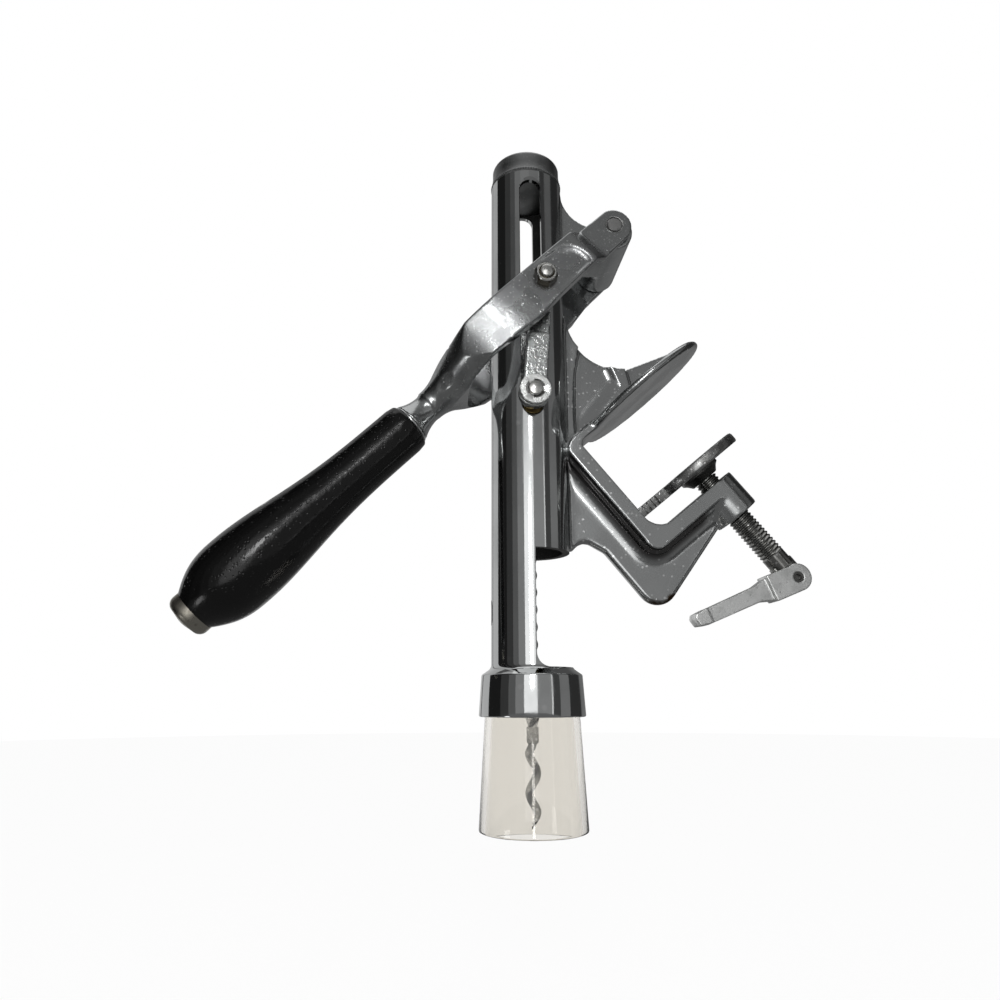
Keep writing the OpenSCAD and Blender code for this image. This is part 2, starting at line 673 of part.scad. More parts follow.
// Worm: the wire's plain shank, its open helix and its point
module worm() color("silver") at_seat() {
    translate([0, 0, worm_top]) cylinder(r = shank_r, h = spindle_bottom - worm_top);
    translate([0, 0, spindle_bottom - 1]) cylinder(r = wire_d / 2, h = 8.5);
    sides = 10;
    rings = worm_rings;
    polyhedron(
        points = [for (i = [0:rings], k = [0:sides - 1]) worm_point_at(i / rings, 360 * k / sides)],
        faces = concat(
            [for (i = [0:rings - 1], k = [0:sides - 1]) let (n = (k + 1) % sides)
                [i * sides + k, i * sides + n, (i + 1) * sides + n]],
            [for (i = [0:rings - 1], k = [0:sides - 1]) let (n = (k + 1) % sides)
                [i * sides + k, (i + 1) * sides + n, (i + 1) * sides + k]],
            [for (k = [1:sides - 2]) [0, k + 1, k]],
            [for (k = [1:sides - 2]) [rings * sides, rings * sides + k, rings * sides + k + 1]]));
}

// A point on the worm's wire at a fraction of its length down, at an angle about the wire
function worm_point_at(f, side) = let (
        down = worm_len * f,
        turn = worm_start - 360 * down / lead,
        r = worm_r * min(1, down / worm_spread),
        wire = wire_d / 2 * min(1, 0.12 + (worm_len - down) / worm_point),
        slope = atan(2 * PI * r / lead),
        out = [cos(turn), sin(turn), 0],
        across = [cos(slope) * -sin(turn), cos(slope) * cos(turn), -sin(slope)])
    [0, 0, worm_top + 1 - down] + out * (r + wire * cos(side)) + across * wire * sin(side);

// ---- Clamp fittings ----

// Pressure pad: a round plate with a notched tongue that runs up and down the clamp's back
module clamp_pad() color("darkgray") sloped() difference() {
    union() {
        translate([screw_u, 0, pad_low]) cylinder(r = pad_d / 2, h = pad_t);
        translate([clamp_back + 1, -tongue_w / 2, pad_low])
            cube([screw_u - clamp_back - 1, tongue_w, pad_t]);
    }
    both_sides() for (i = [0:4])
        translate([clamp_back + 2 + 2 * i, tongue_w / 2 - 1, pad_low - eps])
            cube([0.8, 2, pad_t + 2 * eps]);
}

// Conical socket under the pad that holds the screw's head
module pad_socket() color("dimgray") sloped() translate([screw_u, 0, pad_low - socket_h]) difference() {
    cylinder(r1 = socket_r[0], r2 = socket_r[1], h = socket_h);
    translate([0, 0, -eps]) cylinder(r = head_neck_r + fit, h = socket_h);
    translate([0, 0, socket_h - head_t - 2 * fit]) cylinder(r = head_r + fit, h = head_t + 2 * fit + eps);
}

// Clamp screw: head in the socket, thread through the nose, plain shank and flat tang
module clamp_screw() color("silver") sloped() translate([screw_u, 0, 0]) difference() {
    union() {
        translate([0, 0, pad_low - head_t - fit]) cylinder(r = head_r, h = head_t);
        translate([0, 0, screw_top - 0.1]) cylinder(r = head_neck_r, h = pad_low - screw_top - 1.5);
        thread(thread_low, screw_top);
        translate([0, 0, shank_low]) cylinder(r = plain_r, h = thread_low - shank_low + 0.1);
        intersection() {
            translate([-plain_r, -tang_t / 2, thumb_n])
                cube([2 * plain_r, tang_t, shank_low - thumb_n + 1]);
            translate([0, 0, thumb_n - 1]) cylinder(r = plain_r, h = 2 * (shank_low - thumb_n));
        }
        translate([0, 0, thumb_n]) bar_y(plain_r, -tang_t / 2, tang_t / 2);
    }
    translate([0, 0, thumb_n]) bar_y(thumb_pin_d / 2, -tang_t, tang_t);
}

// Thread drawn as a row of rings at the screw's pitch
module thread(low, high) {
    crest = screw_d / 2;
    root = crest - 0.61 * screw_pitch;
    count = floor((high - low) / screw_pitch);
    rotate_extrude($fn = 48) polygon(concat(
        [[0, low], [root, low]],
        [for (i = [0:count - 1], p = [[root, 0.1], [crest, 0.45], [crest, 0.6], [root, 0.95]])
            [p[0], low + (i + p[1]) * screw_pitch]],
        [[root, high], [0, high]]));
}

// Turns what is drawn with its arm along -X to the thumb lever's place
module on_thumb() sloped() translate([screw_u, 0, thumb_n]) rotate([0, thumb_rest, 0]) children();

// Thumb lever: forked eye around the screw's tang and a slim arm with a flared tip
module thumb_lever() color("gainsboro") on_thumb() difference() {
    union() {
        plate(2 * thumb_y) {
            circle(r = thumb_eye_r);
            translate([-thumb_cheek, -thumb_eye_r]) square([thumb_cheek, 2 * thumb_eye_r - 0.3]);
        }
        plate(thumb_arm_t) polygon([
            [1 - thumb_cheek, 4.6], [-5 - thumb_cheek, 3.2], [3 - thumb_len, 2.4],
            [1 - thumb_len, 2.2], [-thumb_len, 0.6],
            [0.8 - thumb_len, -2.6], [4 - thumb_len, -3.4], [-5 - thumb_cheek, -3.2],
            [1 - thumb_cheek, -5]]);
        translate([6 - thumb_len, 0, 0]) plate(thumb_tip_t) polygon([
            [0, 2.6], [-5, 2.2], [-6, 0.6], [-5.2, -2.6], [0, -3.4]]);
    }
    translate([-thumb_slot, -tang_t / 2 - gap, -2 * thumb_eye_r])
        cube([4 * thumb_eye_r, tang_t + 2 * gap, 4 * thumb_eye_r]);
    bar_y(thumb_pin_d / 2, -2 * thumb_y, 2 * thumb_y);
}

// Pin that the thumb lever swings on
module thumb_pin() color("dimgray") on_thumb() bar_y(thumb_pin_d / 2 - fit, 0.3 - thumb_y, thumb_y - 0.3);

barrel();
clamp_frame();
top_cap();
drive_nut();
nut_set_screw();
bottle_cup();
fulcrum_pin();
lever_fork();
handle_rod();
grip_ferrule();
handle_grip();
end_cap();
lever_studs();
stud_nuts();
link_front();
link_rear();
link_journals();
carriage();
cross_pin();
link_spacers();
retaining_rings();
thrust_washer();
spindle_plug();
spindle();
worm();
clamp_pad();
pad_socket();
clamp_screw();
thumb_lever();
thumb_pin();
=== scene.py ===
import math

import bmesh
import bpy
import numpy as np
from mathutils import Euler, Matrix, Vector


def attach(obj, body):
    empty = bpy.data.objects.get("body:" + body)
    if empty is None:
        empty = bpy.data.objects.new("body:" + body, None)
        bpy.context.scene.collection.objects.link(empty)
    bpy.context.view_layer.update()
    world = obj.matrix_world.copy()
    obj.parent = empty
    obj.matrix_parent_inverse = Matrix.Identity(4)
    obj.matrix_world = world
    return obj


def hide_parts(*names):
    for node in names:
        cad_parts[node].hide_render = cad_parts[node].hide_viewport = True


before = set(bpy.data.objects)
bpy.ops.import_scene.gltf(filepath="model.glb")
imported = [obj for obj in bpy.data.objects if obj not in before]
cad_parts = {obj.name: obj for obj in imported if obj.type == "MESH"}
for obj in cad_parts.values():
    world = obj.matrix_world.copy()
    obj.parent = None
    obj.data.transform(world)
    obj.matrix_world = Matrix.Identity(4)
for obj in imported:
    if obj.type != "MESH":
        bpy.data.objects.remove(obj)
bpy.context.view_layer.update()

scene = bpy.context.scene

# ---- Barrel and bell -------------------------------------------------------------------
# A bored and turned casting, chrome plated and polished like a mirror. Two long slots guide
# the cross pin, and the right half is cut away above the bell so that the cork drops out.

# Shapes are drawn in mm from the middle of the bell's foot, with Z up the barrel. The frame's
# origin is the counter seat: the middle of the upper jaw's face, which leans by TILT.
TILT = math.radians(39.5)
JAW_U, UPPER_JAW = 117.4, 67.5  # the seat's middle, along the slope and square to it


def upright(u, n):
    """A point along the slope and square to it, in upright coordinates."""
    return u * math.cos(TILT) - n * math.sin(TILT), u * math.sin(TILT) + n * math.cos(TILT)


SEAT_X, SEAT_Z = upright(JAW_U, UPPER_JAW)
SEAT = Vector((SEAT_X, 0, SEAT_Z))
TO_FRAME = Matrix.Scale(0.001, 4) @ Matrix.Translation(-SEAT)
TUBE_R, BORE_R, TUBE_TOP = 15, 12.3, 221
BELL_R, BELL_SHOULDER_R, BELL_H = 19.5, 18.6, 14.5
SPIGOT_R, SPIGOT_H = 17.35, 10.05
WINDOW_TOP, WINDOW_FOOT, WINDOW_CORNER = 60, 17.3, 5
SLOT_R, SLOT_LOW, SLOT_HIGH = 4.4, 116.63, 212.57  # centres of the slot's round ends
SLOT_CHAMFER = 1.9


def arc(centre, radius, start, end, count=10):
    """Points of an arc, with its angles in degrees."""
    angles = [math.radians(start + (end - start) * i / count) for i in range(count + 1)]
    return [(centre[0] + radius * math.cos(a), centre[1] + radius * math.sin(a)) for a in angles]


def turned(profile, steps=96, start=0, sweep=360, along="Z", at=(0, 0, 0)):
    """Turns a closed outline of (radius, height) about an axis through a point."""
    bm = bmesh.new()
    face = bm.faces.new([bm.verts.new((r, 0, h)) for r, h in profile])
    full = sweep == 360
    geom = list(face.edges) + list(face.verts)
    if full:
        bmesh.ops.delete(bm, geom=[face], context="FACES_ONLY")
        geom = bm.edges[:] + bm.verts[:]
    else:
        geom += [face]
    bmesh.ops.rotate(bm, verts=bm.verts, cent=(0, 0, 0), matrix=Matrix.Rotation(math.radians(start), 3, "Z"))
    bmesh.ops.spin(
        bm, geom=geom, cent=(0, 0, 0), axis=(0, 0, 1), angle=math.radians(sweep), steps=steps, use_merge=full)
    lay = {"X": Matrix.Rotation(math.pi / 2, 4, "Y"), "Y": Matrix.Rotation(-math.pi / 2, 4, "X")}
    bm.transform(Matrix.Translation(at) @ lay.get(along, Matrix.Identity(4)))
    return bm


def plate(outline, near, far, along="Y"):
    """A flat outline becomes a plate between two planes: (x, z) across Y, or (x, y) up Z."""
    bm = bmesh.new()
    place = (lambda a, b: (a, near, b)) if along == "Y" else (lambda a, b: (a, b, near))
    step = (0, far - near, 0) if along == "Y" else (0, 0, far - near)
    face = bm.faces.new([bm.verts.new(place(a, b)) for a, b in outline])
    swept = bmesh.ops.extrude_face_region(bm, geom=[face], use_keep_orig=True)
    bmesh.ops.translate(bm, verts=[v for v in swept["geom"] if isinstance(v, bmesh.types.BMVert)], vec=step)
    return bm


def joined(*parts):
    """Puts several shapes in one."""
    whole = bmesh.new()
    for part in parts:
        mesh = bpy.data.meshes.new("part")
        bmesh.ops.remove_doubles(part, verts=part.verts, dist=1e-4)
        bmesh.ops.recalc_face_normals(part, faces=part.faces)
        part.to_mesh(mesh)
        part.free()
        whole.from_mesh(mesh)
        bpy.data.meshes.remove(mesh)
    return whole


def as_object(bm, name):
    """A finished shape becomes an object, still in millimetres from the bell's foot."""
    mesh = bpy.data.meshes.new(name)
    bm.to_mesh(mesh)
    bm.free()
    piece = bpy.data.objects.new(name, mesh)
    scene.collection.objects.link(piece)
    return piece


def apply_modifiers(piece):
    graph = bpy.context.evaluated_depsgraph_get()
    mesh = bpy.data.meshes.new_from_object(piece.evaluated_get(graph))
    piece.modifiers.clear()
    rough, piece.data = piece.data, mesh
    bpy.data.meshes.remove(rough)


def worked(piece, operation, *tools):
    """Cuts a piece with tools, or joins them to it."""
    cutters = [as_object(joined(tool), "tool") for tool in tools]
    for cutter in cutters:
        step = piece.modifiers.new("work", "BOOLEAN")
        step.operation, step.object, step.solver = operation, cutter, "EXACT"
    apply_modifiers(piece)
    for cutter in cutters:
        bpy.data.objects.remove(cutter)
    return piece


def stadium(half, low, high, count=24):
    """Outline of a slot with round ends, as (x, z)."""
    return arc((0, high), half, 0, 180, count) + arc((0, low), half, 180, 360, count)


def countersink(y, half, depth, low, high):
    """A slot's tool whose sides open outwards from half at depth below the surface at y."""
    side = 1 if y > 0 else -1
    bm = bmesh.new()
    loops = []
    for out in (0, depth + 2):
        points = stadium(half + out, low, high)
        ring = [bm.verts.new((a, y - side * (depth - out), b)) for a, b in points]
        loops.append([bm.edges.new(pair) for pair in zip(ring, ring[1:] + ring[:1])])
        bm.faces.new(ring)
    bmesh.ops.bridge_loops(bm, edges=loops[0] + loops[1])
    return bm


def fitted(piece, body, material, replaces=(), sharp=32, to_frame=True):
    """Puts a finished piece in its place in the frame, on the body it rides on, and hides the imported parts
    it replaces.
    """
    if to_frame:
        piece.data.transform(TO_FRAME)
    piece.data.materials.clear()
    piece.data.materials.append(material)
    piece.data.shade_smooth()
    piece.data.set_sharp_from_angle(angle=math.radians(sharp))
    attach(piece, body)
    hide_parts(*replaces)
    return piece


def add(tree, kind, inputs=(), **settings):
    """Adds a shader node; an input takes a value or another node's output."""
    made = tree.nodes.new(kind)
    for name, value in settings.items():
        setattr(made, name, value)
    for key, value in dict(inputs).items():
        if isinstance(value, bpy.types.NodeSocket):
            tree.links.new(value, made.inputs[key])
        else:
            made.inputs[key].default_value = value
    return made


def effect(name, inputs, outputs):
    """A node group with its named inputs and outputs."""
    group = bpy.data.node_groups.new(name, "ShaderNodeTree")
    for label, value in inputs.items():
        socket = group.interface.new_socket(name=label, in_out="INPUT", socket_type="NodeSocketFloat")
        socket.default_value = value
    for label in outputs:
        group.interface.new_socket(name=label, in_out="OUTPUT", socket_type="NodeSocketFloat")
    return group, add(group, "NodeGroupInput").outputs, add(group, "NodeGroupOutput").inputs


def spread(tree, value, low, high, to_low=0.0, to_high=1.0):
    """Stretches the part of a value between low and high, with soft ends."""
    return add(
        tree, "ShaderNodeMapRange",
        {"Value": value, "From Min": low, "From Max": high, "To Min": to_low, "To Max": to_high},
        interpolation_type="SMOOTHSTEP").outputs["Result"]


def times(tree, a, b):
    return add(tree, "ShaderNodeMath", {0: a, 1: b}, operation="MULTIPLY").outputs[0]


def noise(tree, where, scale, detail):
    return add(tree, "ShaderNodeTexNoise", {"Vector": where, "Scale": scale, "Detail": detail}).outputs["Fac"]


def mixed(tree, share, ground, top):
    """A colour that goes from ground to top by a share; a plain colour is given as (r, g, b)."""
    ground, top = [c if isinstance(c, bpy.types.NodeSocket) else (*c, 1) for c in (ground, top)]
    return add(tree, "ShaderNodeMix", {"Factor": share, 6: ground, 7: top}, data_type="RGBA").outputs[2]


# The skin of every metal piece: cloudy dullness, pits or specks in patches, and a fine grain
skin, given, out = effect(
    "metal_skin", {"Clouds": 40.0, "Grain": 900.0, "Specks": 500.0, "Amount": 0.5},
    ("Dull", "Speck", "Height"))
where = add(skin, "ShaderNodeTexCoord").outputs["Object"]
clouds = noise(skin, where, given["Clouds"], 4.0)
grain = noise(skin, where, given["Grain"], 3.0)
dots = add(skin, "ShaderNodeTexVoronoi", {"Vector": where, "Scale": given["Specks"]}, feature="F1")
pick = add(skin, "ShaderNodeSeparateColor", {"Color": dots.outputs["Color"]}).outputs["Red"]
kept = add(skin, "ShaderNodeMath", {0: pick, 1: given["Amount"]}, operation="LESS_THAN").outputs[0]
round_dot = spread(skin, dots.outputs["Distance"], 0.42, 0.12)
speck = times(skin, round_dot, kept)
skin.links.new(spread(skin, clouds, 0.38, 0.66), out["Dull"])
skin.links.new(speck, out["Speck"])
sunk = add(skin, "ShaderNodeMath", {0: grain, 1: speck}, operation="SUBTRACT").outputs[0]
skin.links.new(sunk, out["Height"])


def metal(name, bright, dull, rough, specks=(0.9, 0.9, 0.9), speck_mix=0.5, bump=0.02, **look):
    """A worn metal: its colour and roughness drift from bright to dull, with specks of its own."""
    made = bpy.data.materials.new(name)
    made.use_nodes = True
    tree = made.node_tree
    shader = tree.nodes["Principled BSDF"]
    shader.inputs["Metallic"].default_value = 1.0
    worn = add(tree, "ShaderNodeGroup", node_tree=skin)
    for label, value in look.items():
        worn.inputs[label].default_value = value
    ground = mixed(tree, worn.outputs["Dull"], bright, dull)
    strength = times(tree, worn.outputs["Speck"], speck_mix)
    tree.links.new(mixed(tree, strength, ground, specks), shader.inputs["Base Color"])
    tree.links.new(spread(tree, worn.outputs["Dull"], 0, 1, *rough), shader.inputs["Roughness"])
    relief = add(
        tree, "ShaderNodeBump", {"Strength": 1.0, "Distance": bump * 0.001, "Height": worn.outputs["Height"]})
    tree.links.new(relief.outputs["Normal"], shader.inputs["Normal"])
    return made


mirror_chrome = metal(
    "mirror_chrome", (0.60, 0.61, 0.61), (0.52, 0.53, 0.53), (0.05, 0.13),
    specks=(0.75, 0.75, 0.75), speck_mix=0.5, bump=0.004, Clouds=45, Grain=700, Specks=260, Amount=0.05)

fillet_at = (TUBE_R + 2.6, 18.52)
barrel_outline = (
    [(BORE_R, SPIGOT_H), (BORE_R, TUBE_TOP), (TUBE_R, TUBE_TOP)]
    + arc(fillet_at, 2.6, 180, 233, 8)
    + arc((BELL_SHOULDER_R - 0.8, BELL_H - 0.25), 0.8, 52, 3, 4)
    + [(BELL_R - 0.02, 0.5), (BELL_R - 0.18, 0.12), (BELL_R - 0.5, 0), (SPIGOT_R, 0), (SPIGOT_R, SPIGOT_H)])
barrel = as_object(joined(turned(barrel_outline, 256)), "barrel_tube")
window = (
    [(0, WINDOW_TOP), (0, WINDOW_FOOT + WINDOW_CORNER)]
    + arc((WINDOW_CORNER, WINDOW_FOOT + WINDOW_CORNER), WINDOW_CORNER, 180, 270)
    + [(30, WINDOW_FOOT), (30, WINDOW_TOP)])
ejector = plate([(y, x) for x, y in stadium(2.5, 35.1, 39.5)], -18, -10)
ejector.transform(Matrix([(0, 1, 0, 0), (0, 0, 1, 0), (1, 0, 0, 0), (0, 0, 0, 1)]))
worked(
    barrel, "DIFFERENCE", plate(stadium(SLOT_R, SLOT_LOW, SLOT_HIGH), -20, 20),
    countersink(-TUBE_R, SLOT_R, SLOT_CHAMFER / 2, SLOT_LOW, SLOT_HIGH),
    countersink(TUBE_R, SLOT_R, SLOT_CHAMFER / 2, SLOT_LOW, SLOT_HIGH),
    plate(window, -30, 30), ejector,
    turned([(0, 7), (2.05, 7), (2.05, 18), (0, 18)], 32, along="Y", at=(0, 0, 99.03)))
fitted(barrel, "frame", mirror_chrome, ["barrel"])
# Painted shade: the bore is coloured near black and not metallic, for the dark inside the tube.
bore_painted_shade = metal(
    "bore_painted_shade", (0.035, 0.035, 0.034), (0.02, 0.02, 0.02), (0.6, 0.8), specks=(0.06, 0.055, 0.05), bump=0.02,
    Clouds=60, Grain=900, Specks=500, Amount=0.2)
bore_painted_shade.node_tree.nodes["Principled BSDF"].inputs["Metallic"].default_value = 0.0
bore_painted_shade.node_tree.nodes["Principled BSDF"].inputs["Specular IOR Level"].default_value = 0.2
barrel.data.materials.append(bore_painted_shade)
for face in barrel.data.polygons:
    x, y = face.center.x * 1000 + SEAT.x, face.center.y * 1000
    if math.hypot(x, y) < BORE_R + 0.02:
        face.material_index = 1

# ---- Bracket ---------------------------------------------------------------------------
# Cast on the barrel's side: a web with hollow flanks and a round boss for the lever's pin.
# It is plated with the barrel but less polished, and flows into the tube with small fillets.

FULCRUM = Vector((33.5, 0, 192.4))
BOSS_R, BOSS_Y, BRACKET_HALF = 8.5, 17.1, 5.5


def cast(bm, name, grain, edge=3, fill=24, turn=Matrix.Identity(4)):
    """Overlapping solids become one casting: corners filled in softly, edges barely rounded."""
    bm.transform(turn)
    piece = as_object(bm, name)
    skin_step = piece.modifiers.new("mould", "REMESH")
    skin_step.mode, skin_step.voxel_size = "VOXEL", grain
    apply_modifiers(piece)
    count = len(piece.data.vertices)

    def smoothed(steps):
        step = piece.modifiers.new("dress", "SMOOTH")
        step.factor, step.iterations = 0.5, steps
        graph = bpy.context.evaluated_depsgraph_get()
        result = piece.evaluated_get(graph).data
        points, normals = np.empty(count * 3), np.empty(count * 3, np.float32)
        result.vertices.foreach_get("co", points)
        result.vertex_normals.foreach_get("vector", normals)
        piece.modifiers.clear()
        return points.reshape(-1, 3), normals.reshape(-1, 3)

    dressed, normals = smoothed(edge)
    for _ in range(3):
        piece.data.vertices.foreach_set("co", dressed.ravel())
        filled, _ = smoothed(fill // 3)
        rise = np.clip(((filled - dressed) * normals).sum(1), 0, None)
        piece.data.vertices.foreach_set("co", (dressed + normals * rise[:, None]).ravel())
        dressed, normals = smoothed(1)
    piece.data.vertices.foreach_set("co", dressed.ravel())
    piece.data.transform(turn.inverted())
    return piece


def tube_side(low, high, half_angle=58):
    """The side of the barrel that a casting grows from, a hair under the polished tube."""
    return turned(
        [(BORE_R + 0.2, low), (TUBE_R - 0.04, low), (TUBE_R - 0.04, high), (BORE_R + 0.2, high)],
        60, -half_angle, 2 * half_angle)


cast_chrome = metal(
    "cast_chrome", (0.50, 0.51, 0.51), (0.44, 0.45, 0.45), (0.15, 0.23),
    specks=(0.80, 0.81, 0.81), speck_mix=0.6, bump=0.015, Clouds=60, Grain=1200, Specks=900, Amount=0.12)

bracket_outline = (
    [(13.2, 220), (14.4, 220)] + arc((31, 217.8), 16.6, 180, 270, 24)
    + [(37.5, 199.9), (33.5, 184.4)] + arc((28, 171), 13, 90, 180, 20) + [(13.2, 171)])
bracket = cast(
    joined(
        plate(bracket_outline, -BRACKET_HALF, BRACKET_HALF),
        turned([(0, -BOSS_Y), (BOSS_R, -BOSS_Y), (BOSS_R, BOSS_Y), (0, BOSS_Y)], 64, along="Y", at=FULCRUM),
        tube_side(160, 220.5, 50)),
    "bracket", 0.5)
fitted(bracket, "frame", cast_chrome, ["barrel"], sharp=60)

# ---- Clamp frame -----------------------------------------------------------------------
# The same casting: a hollow-edged gusset, the round upper jaw with its rib, the flange that
# runs round the opening on a thin web, and the nose that the screw passes through.

SCREW_U, LOWER_JAW, JAW_R, JAW_T = 113.2, 21.5, 29.5, 3
FLANGE_HALF, WEB_HALF, RIB_HALF, GUSSET_HALF = 9, 2.5, 2, 4.5
HEEL_AT, HEEL_R = (68.8, 6.5), 8  # the web's round heel
NOSE_R, NOSE_LOW = 9.2, 6
SCREW_BORE = 4.8
TO_SLOPE = Matrix.Rotation(TILT, 4, "Y")
HOLLOW, HOLLOW_R = (38.7, 160.3), 23.3


def sloped(bm):
    """What is drawn along the slope, leant over to it."""
    bm.transform(TO_SLOPE.inverted())
    return bm


def rounded(bm, reach, segments=3):
    """Rounds the rim of a plate's two flat faces."""
    bmesh.ops.recalc_face_normals(bm, faces=bm.faces)
    rims = [e for e in bm.edges if len(e.link_faces) == 2 and any(len(f.verts) > 4 for f in e.link_faces)]
    bmesh.ops.bevel(
        bm, geom=rims, offset=reach, segments=segments, profile=0.5, affect="EDGES", material=-1,
        clamp_overlap=True)
    return bm


web = (
    [(13.2, 61), (16.2, 61.2), (18.4, 63.4), (20.6, 64.3), (22.8, 64), (25.6, 62.4)]
    + [upright(60.8, 28.5)] + [upright(*p) for p in arc(HEEL_AT, HEEL_R, 180, 286)]
    + [upright(SCREW_U - NOSE_R + 1.5, 7.7), upright(SCREW_U - NOSE_R + 1.5, 18.5)]
    + [upright(77, 18.5), upright(77, UPPER_JAW), (13.2, 132)])
gusset = (
    [(13.2, 104), upright(77, 63.5), upright(86, 68.5), upright(111.5, 68.5)]
    + arc(HOLLOW, HOLLOW_R, 272, 182, 24) + [(13.2, 159.5)])
panel = arc(HOLLOW, HOLLOW_R - 1, 249, 214, 12) + [
    (18.0, 136), (17.6, 124.5), (17.8, 113.5), (19.6, 114.4), (25.1, 121.6), (30.8, 129.4), (33.4, 132.9)]
flange = (
    [(SCREW_U, LOWER_JAW), (SCREW_U, 15.5)] + arc((79, 20.5), 5, 270, 180) + arc((79, 65.5), 5, 180, 90)
    + [(92, 70.5), (92, 67.5)] + arc((83, 64.5), 3, 90, 180) + arc((88, 29.5), 8, 180, 270))
# Each step stands for the hollow between the flange and the web, and is smoothed away
hollow_plates = []
for grow, half in ((1.6, 6.2), (3.2, 4.4), (5.0, 3.3)):
    step_outline = (
        [(SCREW_U - 8, 18), (SCREW_U - 8, 15.5 - grow)] + arc((79, 20.5), 5 + grow, 270, 180)
        + arc((79, 62), 5 + grow, 180, 140) + [(79, 60), (79, 18)])
    hollow_plates.append(plate(step_outline, -half, half))
rib = [(86, 68.5), (145.9, 68.5), (145.9, 72.5), (118, 80.5)]
disc = (
    [(0, UPPER_JAW), (JAW_R - 0.9, UPPER_JAW), (JAW_R, UPPER_JAW + 0.9), (JAW_R, UPPER_JAW + JAW_T - 1)]
    + [(JAW_R - 1, UPPER_JAW + JAW_T), (0, UPPER_JAW + JAW_T)])
# The recess in each flank opens outwards, so that its rim slopes
RECESS_FLOOR, RECESS_FLARE, FLARE_X, FLARE_Z = 2.7, 0.5, 17.6, 150
gusset_piece = as_object(joined(plate(gusset, -GUSSET_HALF, GUSSET_HALF)), "gusset")
recesses = [plate(panel, side * RECESS_FLOOR, side * (GUSSET_HALF + 2)) for side in (-1, 1)]
for corner in (v for recess in recesses for v in recess.verts):
    if abs(corner.co.y) > GUSSET_HALF:
        corner.co.x += RECESS_FLARE * (corner.co.x - FLARE_X)
        corner.co.z += RECESS_FLARE * (corner.co.z - FLARE_Z)
worked(gusset_piece, "DIFFERENCE", *recesses)
hollowed = bmesh.new()
hollowed.from_mesh(gusset_piece.data)
bpy.data.objects.remove(gusset_piece)
clamp = cast(
    joined(
        rounded(plate(web, -WEB_HALF, WEB_HALF), 2.2), hollowed, *[sloped(step) for step in hollow_plates],
        sloped(plate(flange, -FLANGE_HALF, FLANGE_HALF)), sloped(plate(rib, -RIB_HALF, RIB_HALF)),
        sloped(turned(disc, 128, at=(JAW_U, 0, 0))),
        sloped(turned(
            [(SCREW_BORE, NOSE_LOW), (NOSE_R, NOSE_LOW), (NOSE_R, LOWER_JAW), (SCREW_BORE, LOWER_JAW)],
            64, at=(SCREW_U, 0, 0))),
        tube_side(61, 158, 42)),
    "clamp_frame", 0.5, edge=3, fill=36, turn=TO_SLOPE)
clamp_metal = metal(
    "clamp_metal", (0.50, 0.51, 0.51), (0.42, 0.43, 0.43), (0.15, 0.24),
    specks=(0.92, 0.93, 0.93), speck_mix=0.8, bump=0.02, Clouds=60, Grain=1200, Specks=620, Amount=0.22)
# Painted shade darkens the hollow beside the flange, and rust creeps up from the heel. Both masks are
# in metres from the counter seat.
shade_and_rust, given, out = effect("clamp_shade_and_rust", {"Scale": 300.0}, ("HollowShade", "Rust"))
where = add(shade_and_rust, "ShaderNodeTexCoord").outputs["Object"]
blots = noise(shade_and_rust, where, given["Scale"], 4.0)
place = add(shade_and_rust, "ShaderNodeSeparateXYZ", {0: where}).outputs
aside = add(shade_and_rust, "ShaderNodeMath", {0: place["Y"]}, operation="ABSOLUTE").outputs[0]
between = times(shade_and_rust, spread(shade_and_rust, aside, 0.0030, 0.0048), spread(shade_and_rust, aside, 0.0088, 0.0080))
inside = times(shade_and_rust, spread(shade_and_rust, place["X"], 0.024, 0.019), spread(shade_and_rust, place["Z"], -0.027, -0.031))
shade_and_rust.links.new(times(shade_and_rust, between, inside), out["HollowShade"])
heel = TO_FRAME @ Vector((*upright(*HEEL_AT), 0)).xzy
flat_place = add(shade_and_rust, "ShaderNodeCombineXYZ", {0: place["X"], 2: place["Z"]}).outputs[0]
from_heel = add(
    shade_and_rust, "ShaderNodeVectorMath", {0: flat_place, 1: (heel.x, 0, heel.z)},
    operation="SUBTRACT").outputs["Vector"]
reach = add(shade_and_rust, "ShaderNodeVectorMath", {0: from_heel}, operation="LENGTH").outputs["Value"]
downhill = add(
    shade_and_rust, "ShaderNodeVectorMath", {0: from_heel, 1: (0.35, 0, -0.94)},
    operation="DOT_PRODUCT").outputs["Value"]
ragged = add(shade_and_rust, "ShaderNodeMath", {0: blots, 1: 0.006, 2: reach}, operation="MULTIPLY_ADD").outputs[0]
rim = times(shade_and_rust, spread(shade_and_rust, ragged, 0.0088, 0.0106), spread(shade_and_rust, reach, 0.0120, 0.0100))
shade_and_rust.links.new(times(shade_and_rust, rim, spread(shade_and_rust, downhill, 0.0030, 0.0065)), out["Rust"])
tree = clamp_metal.node_tree
shader = tree.nodes["Principled BSDF"]
shade_and_rust_masks = add(tree, "ShaderNodeGroup", node_tree=shade_and_rust).outputs
clean = shader.inputs["Base Color"].links[0].from_socket
# Painted shade: the hollow beside the flange is mixed nearly to black. The rust mixed over it is a real
# stain.
hollow_shaded = mixed(tree, times(tree, shade_and_rust_masks["HollowShade"], 0.85), clean, (0.05, 0.045, 0.045))
tree.links.new(mixed(tree, shade_and_rust_masks["Rust"], hollow_shaded, (0.05, 0.03, 0.015)), shader.inputs["Base Color"])
fitted(clamp, "frame", clamp_metal, ["clamp_frame"], sharp=60)

# ---- Top cap ---------------------------------------------------------------------------
# A turned cap pressed into the barrel's upper end, in bare grey metal. A row of fine teeth
# runs round its lower rim, above a dark seam.

